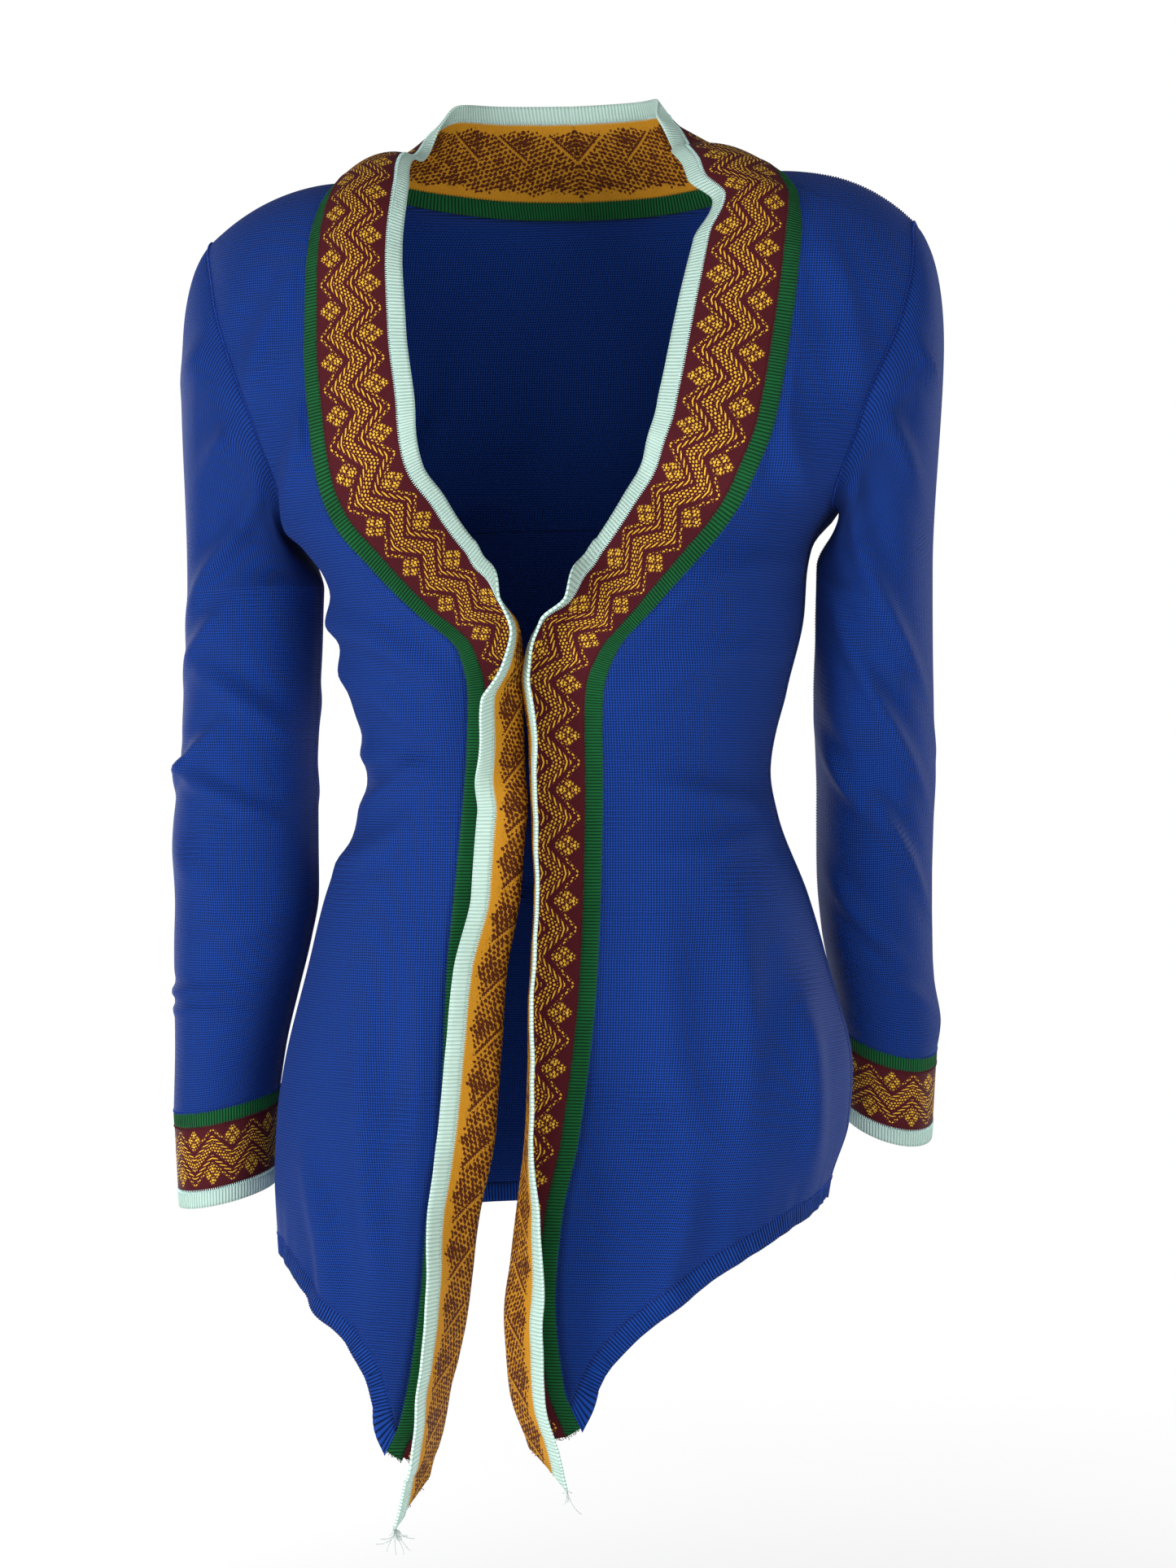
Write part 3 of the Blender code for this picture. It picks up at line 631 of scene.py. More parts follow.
def crease(points, folds):
    """How far the given soft folds lift or sink the cloth at points seen from the front."""
    x, z = points[..., 0], points[..., 2]
    lift = np.zeros(x.shape)
    for fold in rows_of(folds):
        start = np.array([fold["start_x"], fold["start_z"]])
        way = np.array([fold["end_x"], fold["end_z"]]) - start
        length = np.hypot(*way)
        way = way / length
        along = (x - start[0]) * way[0] + (z - start[1]) * way[1]
        share = np.clip(along / length, 0, 1)
        bend = fold["bend"] * 4 * share * (1 - share)
        across = -(x - start[0]) * way[1] + (z - start[1]) * way[0] - bend
        fade = soft(-0.25 * length, 0.3 * length, along) * (1 - soft(0.7 * length, 1.25 * length, along))
        lift += fold["height"] * profile(across, fold["width"], 1.5, 1.7) * fade
    return lift


def gathers(grid):
    """Small uneven waves where the ribbed strip draws the lower edge of a panel in."""
    run = lengths(grid[0])[None, :]
    above = np.linalg.norm(grid - grid[0], axis=-1)
    waves = np.sin(run / 3.3) + 0.7 * np.sin(run / 2.1 + 1.3) + 0.6 * np.sin(run / 5.7)
    height, reach, calm = 0.26, 20, 10
    rise = height * waves * np.exp(-((above / reach) ** 2))
    return rise * soft(0, calm, run) * soft(0, calm, run[:, -1:] - run)


# Soft creases of the body: their ends seen from the front, their width, their height and how far they bend
FRONT_FOLDS = table(
    "start_x start_z end_x end_z width height bend",
    (-150, -250, -45, -290, 7.5, 5.9, 5),
    (-140, -275, -60, -318, 7, 4.3, 4),
    (-112, -330, -50, -345, 6, 4.3, 3),
    (-105, -362, -52, -335, 5, 3.5, 0),
    (-125, -395, -70, -372, 6, 3.1, -3),
    (-128, -560, -112, -650, 7, 5.5, 4),
    (-92, -480, -84, -620, 7.5, 3.9, -4),
    (-60, -450, -58, -600, 7, 3.1, 3),
    (60, -262, 140, -225, 7.5, 4.7, 6),
    (66, -300, 132, -272, 7, 3.9, 4),
    (70, -350, 125, -365, 6, 3.9, 3),
    (74, -388, 130, -372, 6, 2.9, -3),
    (148, -470, 150, -565, 5, 5.9, 5),
    (92, -560, 70, -640, 7, 4.7, 4),
    (78, -420, 92, -540, 9.5, 3.9, -5),
    (116, -430, 120, -540, 7, 3.1, 4),
    (-150, -200, -122, -120, 7, 4.7, -4),
    (-170, -140, -136, -60, 7.5, 3.5, 5),
    (152, -190, 138, -110, 7.5, 4.7, 4),
    (180, -130, 160, -50, 7.5, 3.5, -5),
)
BACK_FOLDS = table(
    "start_x start_z end_x end_z width height bend",
    (-120, -290, -20, -322, 7.5, 5.9, 6),
    (110, -300, 10, -338, 7.5, 5.9, -6),
    (-115, -350, 10, -362, 7, 5.1, 5),
    (100, -372, -20, -390, 7, 4.7, -5),
    (-105, -405, 30, -418, 7.5, 3.5, 5),
    (-150, -200, -95, -110, 7.5, 5.5, -5),
    (150, -195, 100, -100, 7.5, 5.5, 5),
    (-120, -230, -60, -190, 7, 4.3, 4),
    (125, -235, 60, -200, 7, 4.3, -4),
    (-70, -450, -95, -600, 9.5, 5.1, 5),
    (0, -470, 6, -610, 10, 3.9, -4),
    (64, -450, 92, -590, 9.5, 5.1, 4),
)


def quads(index):
    """The four corners of every cell of a grid of numbers."""
    return np.stack([index[:-1, :-1], index[:-1, 1:], index[1:, 1:], index[1:, :-1]], axis=-1).reshape(-1, 4)


def strip_quads(first, second):
    """The four corners of every cell between two lines of numbers."""
    return np.stack([first[:-1], first[1:], second[1:], second[:-1]], axis=-1)


def wall_faces(outer, inner, closed):
    """Faces of a closed wall: the outer skin, the inner skin, then its rims."""
    rims = [strip_quads(outer[0][::-1], inner[0][::-1]), strip_quads(outer[-1], inner[-1])]
    if not closed:
        rims += [strip_quads(outer[:, 0], inner[:, 0]), strip_quads(outer[::-1, -1], inner[::-1, -1])]
    return quads(outer), quads(inner)[:, ::-1], np.concatenate(rims)


def add_object(name, data):
    """A new object in the scene."""
    made = bpy.data.objects.new(name, data)
    bpy.context.collection.objects.link(made)
    return made


def cloth(name, skin, out, uv, material, wall=PANEL_WALL, closed=False, swell=0.0):
    """A knitted wall as one closed mesh. swell lifts both of its skins, and uv is in millimetres of cloth."""
    rise = np.broadcast_to(swell, skin.shape[:2])[..., None]
    outer = skin + out * rise
    inner = skin - out * (wall + rise)
    index = np.arange(outer[..., 0].size).reshape(outer.shape[:2])
    if closed:
        index = np.concatenate([index, index[:, :1]], axis=1)
    corner = np.arange(index.size).reshape(index.shape)
    count = outer[..., 0].size
    parts = wall_faces(index, index + count, closed)
    corners = wall_faces(corner, corner + corner.size, closed)
    faces, face_corners = np.concatenate(parts), np.concatenate(corners)
    reverse = np.concatenate([np.full(len(part), float(number == 1)) for number, part in enumerate(parts)])
    points = np.concatenate([outer.reshape(-1, 3), inner.reshape(-1, 3)]) * MM
    a, b, c, d = (points[faces[:, i]] for i in range(4))
    volume = (np.cross(a, b) * c).sum() + (np.cross(a, c) * d).sum()
    if volume < 0:
        faces, face_corners = faces[:, ::-1], face_corners[:, ::-1]
    mesh = bpy.data.meshes.new(name)
    mesh.from_pydata(points.tolist(), [], faces.tolist())
    layer = mesh.uv_layers.new(name="cloth")
    flat_uv = np.concatenate([uv.reshape(-1, 2)] * 2)[face_corners.reshape(-1)]
    layer.data.foreach_set("uv", flat_uv.reshape(-1) * MM)
    mesh.attributes.new("reverse", "FLOAT", "FACE").data.foreach_set("value", reverse)
    mesh.materials.append(material)
    mesh.polygons.foreach_set("use_smooth", np.ones(len(faces), bool))
    mesh.update()
    return add_object(name, mesh)


def ribs(length, pitch, height):
    """The rise of rounded ribs along a length of knitting."""
    return height * (np.abs(np.sin(np.pi * length / pitch)) ** 0.6 - 0.5)


def declare(piece, node, slot, flat, held, area=None):
    """Parents a finished piece of cloth to the root and hides the solid that it stands for."""
    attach(piece, "root")
    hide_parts(node)


# The stuff of the shaders and of the sewing


class Value:
    """A number that a node puts out, so that maths on it can be written as Python."""

    def __init__(self, tree, socket):
        self.tree, self.socket = tree, socket

    def __add__(self, other):
        return self.tree.maths("ADD", self, other)

    __radd__ = __add__

    def __sub__(self, other):
        return self.tree.maths("SUBTRACT", self, other)

    def __rsub__(self, other):
        return self.tree.maths("SUBTRACT", other, self)

    def __mul__(self, other):
        return self.tree.maths("MULTIPLY", self, other)

    __rmul__ = __mul__

    def __truediv__(self, other):
        return self.tree.maths("DIVIDE", self, other)

    def __rtruediv__(self, other):
        return self.tree.maths("DIVIDE", other, self)

    def __lt__(self, other):
        return self.tree.maths("LESS_THAN", self, other)

    def __gt__(self, other):
        return self.tree.maths("GREATER_THAN", self, other)


class Tree:
    """A node tree, with its nodes added one call each."""

    def __init__(self, tree):
        self.tree = tree

    def put(self, socket, value):
        """Links a value to a socket, or sets a constant on it."""
        if isinstance(value, Value):
            self.tree.links.new(value.socket, socket)
        else:
            socket.default_value = value

    def node(self, kind, inputs=(), output=0, **settings):
        """Adds a node: its settings first, then values or links by socket name or number."""
        node = self.tree.nodes.new(kind)
        for key, value in settings.items():
            setattr(node, key, value)
        for key, value in dict(inputs).items():
            self.put(node.inputs[key], value)
        if output is None:
            return node
        return Value(self, node.outputs[output])

    def maths(self, operation, *values):
        return self.node("ShaderNodeMath", dict(enumerate(values)), operation=operation)

    def vector(self, *values):
        return self.node("ShaderNodeCombineXYZ", dict(enumerate(values)))


class Yarn(Tree):
    """One material, and the nodes that make its colour and relief."""

    def __init__(self, name, roughness=0.78, sheen=0.02):
        self.material = bpy.data.materials.new(name)
        self.material.use_nodes = True
        super().__init__(self.material.node_tree)
        self.shader = self.tree.nodes["Principled BSDF"]
        self.shader.inputs["Roughness"].default_value = roughness
        self.shader.inputs["Sheen Weight"].default_value = sheen
        self.shader.inputs["Sheen Roughness"].default_value = 0.4
        self.shader.inputs["Specular IOR Level"].default_value = 0.12

    def low(self, a, b):
        return self.maths("MINIMUM", a, b)

    def high(self, a, b):
        return self.maths("MAXIMUM", a, b)

    def size(self, a):
        return self.maths("ABSOLUTE", a)

    def whole(self, a):
        return self.maths("FLOOR", a)

    def wave(self, a, period):
        """A triangle wave: -1 at 0, 1 at half a period and -1 again at a whole one."""
        return self.maths("PINGPONG", a / (period / 2), 1.0) * 2 - 1

    def step(self, low, high, value):
        """A soft step from 0 to 1."""
        ends = {"Value": value, "From Min": low, "From Max": high, "To Min": 0.0, "To Max": 1.0}
        return self.node("ShaderNodeMapRange", ends, interpolation_type="SMOOTHSTEP")

    def mix(self, share, first, second):
        """A colour between two others, which are the node's sockets 6 and 7."""
        ends = {"Factor": share, 6: first, 7: second}
        return self.node("ShaderNodeMix", ends, output=2, data_type="RGBA", clamp_factor=True)

    def attribute(self, name):
        return self.node("ShaderNodeAttribute", output=2, attribute_name=name)

    def noise(self, vector, scale, detail=2.0, roughness=0.5):
        ends = {"Vector": vector, "Scale": scale, "Detail": detail, "Roughness": roughness}
        return self.node("ShaderNodeTexNoise", ends)

    def weave(self):
        """The pattern coordinates, as a vector in metres and as two numbers in millimetres of cloth."""
        vector = self.node("ShaderNodeUVMap", uv_map="cloth")
        split = self.node("ShaderNodeSeparateXYZ", {0: vector}, output=None)
        across, along = (Value(self, split.outputs[i]) * 1000 for i in range(2))
        return vector, across, along

    def finish(self, colour, height, depth):
        """Joins a colour and a relief of a depth in metres to the shader."""
        self.put(self.shader.inputs["Base Color"], colour)
        ends = {"Height": height, "Distance": depth, "Strength": 1.0}
        self.put(self.shader.inputs["Normal"], self.node("ShaderNodeBump", ends))
        return self.material


def rgb(red, green, blue):
    """A colour from the usual 0 to 255 values."""
    linear = [((v / 255 + 0.055) / 1.055) ** 2.4 if v > 10 else v / 255 / 12.92 for v in (red, green, blue)]
    return (*linear, 1)


def plain_knit(name, colour, shade, light, hole_shade):
    """Fine plain knitting: columns of small loops with a painted highlight on their raised tops and painted
    shade in the holes between them, a slow random drift of darker tone, and patches of pulled courses.
    """
    wale, course = 1.5, 1.45
    yarn = Yarn(name)
    vector, across, along = yarn.weave()
    wobble = yarn.noise(vector, 120, 2) * 0.8
    loop = yarn.size(yarn.wave(across + wobble, wale * 2))
    rung = yarn.size(yarn.wave(along + wobble + loop * 0.3 * course, course * 2))
    hole = yarn.step(0.1, 0.75, loop) * yarn.step(0.1, 0.75, rung)
    drift = yarn.noise(vector, 22, 3)
    streak = yarn.noise(yarn.vector(across * 0.02, along * 0.55), 1.0, 1)
    patches = yarn.step(0.5, 0.72, yarn.noise(vector, 16, 1))
    pulled = yarn.wave(along + yarn.noise(vector, 45, 2) * 5, 3.1) * patches
    deep = yarn.mix(yarn.step(0.3, 0.75, drift * 0.6 + streak * 0.4), shade, colour)
    # The raised loops take the light colour, a painted highlight, and the holes between them take hole_shade,
    # painted shade where the relief sinks
    tone = yarn.mix(yarn.step(0.1, 1.0, hole * 0.8 + pulled * 0.3), light, deep)
    tone = yarn.mix(yarn.step(0.55, 1.0, hole) * 0.75, tone, hole_shade)
    return yarn.finish(tone, (1 - hole) * 0.75 + pulled * 0.5, 0.0006)


def ribbed_knit(name, colour, shade, pitch):
    """Rib strips with fine loops on them: painted shade between the ribs and painted light on the loops'
    raised parts.
    """
    loop, depth = 0.85, 0.0005
    yarn = Yarn(name)
    vector, across, along = yarn.weave()
    wobble = yarn.noise(vector, 200, 1) * 0.35
    rib = yarn.size(yarn.maths("SINE", (along + wobble) * (math.pi / pitch)))
    loops = yarn.size(yarn.wave(across + rib * 0.3, loop))
    drift = yarn.noise(vector, 60, 2)
    # Darker where the ribs and loops sink and lighter where they rise: painted shade and painted light; drift
    # is a random change of tone
    tone = yarn.step(0.15, 0.95, rib) * 0.85 + loops * 0.25 - 0.1 + (drift - 0.5) * 0.35
    return yarn.finish(yarn.mix(tone, shade, colour), rib * 0.6 + loops * 0.4, depth)


# On the face GOLD_LIT is a painted highlight in the middle of each gold stitch and GOLD_SHADE painted shade
# at its edges
GOLD = rgb(206, 146, 22)
GOLD_LIT = rgb(236, 186, 56)
GOLD_SHADE = rgb(126, 70, 12)
GOLD_TURNED = rgb(196, 138, 32)
WINE = rgb(92, 24, 34)
# WINE_SHADE is painted shade in the hollows between the wine ground's fine loops
WINE_SHADE = rgb(48, 8, 16)
RUST = rgb(66, 16, 12)

# The chart of the patterned strip. Lines are given by their distance from the middle zigzag and half their
# width, and diamonds by their place across the strip, their shift along it and half their size each way.
DENSE_LINE = (-0.3, 3.6)
BRAIDS = ((-6.2, 1.7), (7.8, 1.7))
FINE_LINES = ((-12.1, 0.8), (12.2, 0.8))
# The reverse's stroke is a dark line and its glint a bright one beside it: the braid's reverse with painted
# shade, and a painted highlight
REVERSE_STROKE = (10.4, 1.1)
REVERSE_GLINT = (8.3, 0.9)
GREEN_DIAMOND = (8.9, REPEAT / 2, 7.7, 6.6)
MINT_DIAMOND = (35.1, 0.0, 8.1, 6.8)
DIAMOND_BLOCKS = 2
WALE = 2.1
COURSE = REPEAT / 14


def jacquard(name):
    """The patterned strip: zigzags and stepped diamonds in gold on wine, and their mottled reverse.

    across runs from the green strip to the mint one. The zigzags share one wave along the strip, set off
    from each other by fixed distances, and a diamond sits in each of their bays. Gold is knitted in single
    stitches that lean with the wave, so that wine shows between them. The reverse is mottled gold and rust,
    and plain gold along both edges.
    """
    yarn = Yarn(name, roughness=0.7, sheen=0.0)
    vector, across, along = yarn.weave()
    wobble = (yarn.noise(vector, 300, 1) - 0.5) * 0.7
    across_step = (yarn.whole(across / (WALE / 2)) + 0.5) * (WALE / 2)
    along_step = (yarn.whole(along / (COURSE / 2)) + 0.5) * (COURSE / 2)
    off = across_step - ZIGZAG_LINE - yarn.wave(along_step, REPEAT) * ZIGZAG_SWING

    def within(centre, half):
        return yarn.size(off - centre) < half

    lean = across + wobble - yarn.wave(along, REPEAT) * 2.2
    thread = yarn.wave(lean, WALE)
    bead = yarn.wave(along + wobble + yarn.whole(lean / WALE) * COURSE / 2, COURSE)
    clump = yarn.noise(vector, 420, 1) - 0.5
    dot = yarn.step(0.02, 0.28, thread * 0.5 + bead * 0.5 + clump * 0.5)
    dash = yarn.step(-0.1, 0.4, yarn.wave(lean, 2.2))

    def diamond(centre, shift, reach_across, reach_along):
        """A diamond made of smaller ones, by its distances from the middle as shares of its half sizes."""
        aside = (across_step - centre) / reach_across
        beyond = yarn.maths("PINGPONG", along_step + shift, REPEAT / 2) / reach_along
        first, second = aside + beyond, aside - beyond
        inside = (yarn.size(first) < 1) * (yarn.size(second) < 1)
        grid = [yarn.maths("PINGPONG", (side + 1) * DIAMOND_BLOCKS, 1.0) for side in (first, second)]
        return inside, yarn.low(*grid)

    green_gem, green_grid = diamond(*GREEN_DIAMOND)
    mint_gem, mint_grid = diamond(*MINT_DIAMOND)
    gem = yarn.low(green_gem + mint_gem, 1.0)
    block = yarn.step(0.0, 0.45, green_gem * green_grid + mint_gem * mint_grid)
    dense = within(*DENSE_LINE)
    braid = yarn.low(within(*BRAIDS[0]) + within(*BRAIDS[1]), 1.0)
    fine = yarn.low(within(*FINE_LINES[0]) + within(*FINE_LINES[1]), 1.0)
    jewel = yarn.step(-0.3, 0.1, thread * 0.5 + bead * 0.5 + clump * 0.7) * gem * block
    gold = yarn.high(dot * yarn.high(dense, fine), yarn.high(dash * braid, jewel))
    grain = yarn.noise(vector, 1100, 1)
    core = yarn.high(yarn.high(dot * (1 - braid), dash * braid), jewel * 1.2)
    # Each raised gold stitch is darker at its edges and lighter in its middle: painted shade and painted
    # highlight
    stitch = yarn.mix(yarn.step(0.35, 1.0, core * 0.75 + grain * 0.35), GOLD_SHADE, GOLD)
    stitch = yarn.mix(yarn.step(0.75, 1.1, core * 0.7 + grain * 0.6), stitch, GOLD_LIT)
    small = yarn.size(yarn.wave(across + along * 0.5, 0.8)) * 0.5 + yarn.size(yarn.wave(along, 0.7)) * 0.5
    # The wine ground is darker in the hollows of its fine loops: painted shade
    ground = yarn.mix(yarn.step(0.25, 0.8, small * 0.7 + grain * 0.3), WINE_SHADE, WINE)
    face = yarn.mix(gold, ground, stitch)
    speck_wide, speck_long = 2.5, 3.1
    slant = across + wobble + along * 0.35
    rank = along + yarn.whole(slant / speck_wide) * 1.2 + wobble
    speck = yarn.wave(slant, speck_wide) * 0.5 + yarn.wave(rank, speck_long) * 0.5
    drift = yarn.noise(vector, 160, 1) - 0.5
    from_middle = yarn.size(across - JACQUARD / 2) + yarn.wave(along, REPEAT) * 2.0 + drift * 9
    mottled = yarn.step(20.5, 15.5, from_middle)
    arm = yarn.maths("FRACT", along / REPEAT) < 0.5
    # On the rising arms of the wave only, a dark rust stroke and a bright gold line beside it: the braid's
    # reverse with painted shade, and a painted highlight
    stroke, glint = within(*REVERSE_STROKE) * arm, within(*REVERSE_GLINT) * arm
    bias = mottled * 1.25 - 1.1 + gem * 0.2 + drift * 0.8 + stroke * 0.7 - glint * 0.7
    rust = yarn.step(-0.1, 0.2, speck * 0.7 + bias + (grain - 0.5) * 0.5 + clump * 1.6)
    # On the reverse GOLD_SHADE only darkens the turned gold with the knit's texture, a change of tone
    turned = yarn.mix(yarn.step(0.3, 0.9, small * 0.5 + grain * 0.5) * 0.7, GOLD_TURNED, GOLD_SHADE)
    back = yarn.mix(rust * 0.95, turned, RUST)
    ridge = gold * 0.6 + small * 0.25 + 0.15 * grain
    return yarn.finish(yarn.mix(yarn.attribute("reverse"), face, back), ridge, 0.0005)


JACQUARD_KNIT = {"left": jacquard("jacquard left"), "right": jacquard("jacquard right")}
CUFF_KNIT = jacquard("cuff jacquard")
# The second colour is a random darker tone, the third a painted highlight on the raised loops, the fourth
# painted shade in the holes between them
BLUE = plain_knit("blue knit", rgb(9, 39, 106), rgb(6, 28, 82), rgb(15, 55, 134), rgb(2, 12, 46))
# The second colour of each rib knit is the painted shade between its ribs
BLUE_RIB = ribbed_knit("blue hem rib", rgb(22, 72, 166), rgb(3, 16, 56), HEM_PITCH)
GREEN = ribbed_knit("green rib", rgb(26, 106, 56), rgb(6, 42, 22), GREEN_PITCH)
MINT = ribbed_knit("mint rib", rgb(212, 238, 228), rgb(168, 202, 190), MINT_PITCH)


def sewing_yarn(name, colour, shade):
    """A twisted thread for the seams, with painted shade where its twist sinks."""
    yarn = Yarn(name)
    place = yarn.node("ShaderNodeTexCoord", output="Object")
    twist = yarn.noise(place, 1600, 2)
    return yarn.finish(yarn.mix(yarn.step(0.3, 0.7, twist), shade, colour), twist, 0.00012)


# The second colour of each thread is the painted shade in its twist
BLUE_THREAD = sewing_yarn("blue thread", rgb(30, 68, 166), rgb(14, 34, 98))
GREEN_THREAD = sewing_yarn("green thread", rgb(30, 92, 52), rgb(10, 48, 26))
WINE_THREAD = sewing_yarn("wine thread", rgb(92, 30, 42), rgb(48, 12, 20))
MINT_THREAD = sewing_yarn("mint thread", rgb(214, 240, 235), rgb(160, 200, 193))
FRAYED = sewing_yarn("frayed ends", rgb(196, 210, 206), rgb(140, 158, 154))


def start_tree(name, *sockets):
    """A new Geometry Nodes tree with named inputs, and these as values by their names."""
    group = bpy.data.node_groups.new(name, "GeometryNodeTree")
    for title, kind in (("Geometry", "Geometry"), *sockets):
        group.interface.new_socket(title, in_out="INPUT", socket_type="NodeSocket" + kind)
    group.interface.new_socket("Geometry", in_out="OUTPUT", socket_type="NodeSocketGeometry")
    tree = Tree(group)
    start = tree.node("NodeGroupInput", output=None)
    return tree, {socket.name: Value(tree, socket) for socket in start.outputs if socket.name}


def round_thread(tree, line, thickness, sides):
    """A thread of a few flat sides along a line."""
    rim = tree.node("GeometryNodeCurvePrimitiveCircle", {"Resolution": sides, "Radius": thickness / 2})
    return tree.node("GeometryNodeCurveToMesh", {"Curve": line, "Profile Curve": rim, "Fill Caps": True})


def end_tree(tree, made, thread):
    """Ends a tree: real geometry, smooth, in its thread's material."""
    made = tree.node("GeometryNodeRealizeInstances", {"Geometry": made})
    made = tree.node("GeometryNodeSetShadeSmooth", {"Geometry": made})
    made = tree.node("GeometryNodeSetMaterial", {"Geometry": made, "Material": thread})
    tree.node("NodeGroupOutput", {"Geometry": made}, output=None)
    return tree.tree


def sewing_tree():
    """Stitches along lines: the lines' points carry the direction out of the cloth as "out"."""
    sizes = [(title, "Float") for title in ("Pitch", "Length", "Thickness", "Lean", "Spread")]
    tree, given = start_tree("sewing", *sizes, ("Seed", "Int"), ("Thread", "Material"))
    line = tree.node("GeometryNodeMeshToCurve", {"Mesh": given["Geometry"]})
    line = tree.node("GeometryNodeResampleCurve", {"Curve": line, "Length": given["Pitch"]}, mode="LENGTH")
    places = tree.node("GeometryNodeCurveToPoints", {"Curve": line}, output=None, mode="EVALUATED")
    out = tree.node("GeometryNodeInputNamedAttribute", {"Name": "out"}, data_type="FLOAT_VECTOR")
    align = "FunctionNodeAlignRotationToVector"
    stand = tree.node(align, {"Vector": out}, axis="Z")
    tangent = Value(tree, places.outputs["Tangent"])
    stand = tree.node(align, {"Rotation": stand, "Vector": tangent}, axis="X", pivot_axis="Z")
    reach = {2: 0.0 - given["Spread"], 3: given["Spread"], "Seed": given["Seed"]}
    stray = tree.node("FunctionNodeRandomValue", reach, output=1)
    turn = tree.node("FunctionNodeEulerToRotation", {0: tree.vector(0.0, 0.0, given["Lean"] + stray)})
    stand = tree.node("FunctionNodeRotateRotation", {0: stand, 1: turn}, rotation_space="LOCAL")
    half, sunk, risen = given["Length"] / 2, given["Thickness"] * -0.35, given["Thickness"] * 1.1
    ends = {
        "Resolution": 3,
        "Start": tree.vector(0.0, 0.0 - half, sunk),
        "Middle": tree.vector(0.0, 0.0, risen),
        "End": tree.vector(0.0, half, sunk),
    }
    loop = tree.node("GeometryNodeCurveQuadraticBezier", ends)
    stitch = round_thread(tree, loop, given["Thickness"], 4)
    row = {"Points": Value(tree, places.outputs["Points"]), "Instance": stitch, "Rotation": stand}
    return end_tree(tree, tree.node("GeometryNodeInstanceOnPoints", row), given["Thread"])


def thread_tree():
    """Round thread along lines."""
    tree, given = start_tree("threads", ("Thickness", "Float"), ("Thread", "Material"))
    line = tree.node("GeometryNodeMeshToCurve", {"Mesh": given["Geometry"]})
    return end_tree(tree, round_thread(tree, line, given["Thickness"], 5), given["Thread"])


SEWING = sewing_tree()
THREADS = thread_tree()


def worked(name, lines, slot, group, **values):
    """Stitches or threads that a tree makes from lines of points and their directions out of the cloth."""
    mesh = bpy.data.meshes.new(name + "_lines")
    points, outs, edges, count = [], [], [], 0
    for line, out in lines:
        points.append(np.asarray(line) * MM)
        outs.append(np.broadcast_to(out, np.shape(line)))
        edges += [(count + i, count + i + 1) for i in range(len(line) - 1)]
        count += len(line)
    mesh.from_pydata(np.concatenate(points).tolist(), edges, [])
    layer = mesh.attributes.new("out", "FLOAT_VECTOR", "POINT")
    layer.data.foreach_set("vector", np.concatenate(outs).astype(np.float32).reshape(-1))
    source = add_object(name + "_lines", mesh)
    modifier = source.modifiers.new("work", "NODES")
    modifier.node_group = group
    for item in group.interface.items_tree:
        if item.in_out == "INPUT" and item.name in values:
            modifier[item.identifier] = values[item.name]
    seen = source.evaluated_get(bpy.context.evaluated_depsgraph_get())
    made = bpy.data.meshes.new_from_object(seen)
    source.modifiers.remove(modifier)
    bpy.data.objects.remove(source)
    made.name = name
    piece = add_object(name, made)
    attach(piece, "root")


# The body

SEAM_LINES = {}


def keep_line(kind, line, out):
    """Remembers a seam, so that it is sewn when all the pieces are there."""
    SEAM_LINES.setdefault(kind, []).append((np.array(line), np.array(out)))


def make_panel(name, node, grid, out, folds, edges, cut, side=None):
    """A panel and the strip below it. edges are the shares of the width over which its creases die out."""
    share = np.linspace(0, 1, grid.shape[1])[None, :]
    rise = (PANEL_ROWS / TOP_ROW)[:, None]
    calm = soft(0, edges[0], share) * soft(0, edges[1], 1 - share) * soft(0, 0.04, 1 - rise)
    grid = grid + out * (crease(grid, folds) * calm + gathers(grid))[..., None]
    uv = panel_uv(grid, grid[:, -1, 0] if side else np.zeros(len(grid)))
    piece = cloth(name, grid, out, uv, BLUE)
    declare(piece, node, "blue", held="hung", **cut)
    keep_line("hem", grid[0, 1:-1], out[0, 1:-1])
    make_hem("hem_strip_" + node, "hem_rib_" + node, grid[0], out[0], grid[1], side)
    return grid


def make_fronts():
    """Both fronts, from their side seams to the seams of the bands."""
    for side in SIDES:
        grid = front_grid(side, FRONT_COLUMNS)
        seams = smooth(ROWS[side], "row", "seam", PANEL_ROWS)
        out = form_normals(grid, "front")
        out[:, -1] = band_out(side, seams, np.zeros_like(seams))
        out[-1] = shoulder_out(grid[-1])
        out[:ARMHOLE_START, 0] = (SIDES[side], 0, 0)
        out[ARMHOLE_START:, 0] = armhole_out(side, grid[ARMHOLE_START:, 0])
        names = ("front_panel_" + side, "front_" + side)
        grid = make_panel(*names, grid, out, FRONT_FOLDS, (0.12, 0.1), FRONT_CUT, side)
        side_seam = slice(ARMHOLE_START + 1)
        keep_line("side", grid[side_seam, 0], out[side_seam, 0])
        keep_line("shoulder", grid[-1], out[-1])
        keep_line("border", grid[1:-1, -1], out[1:-1, -1])


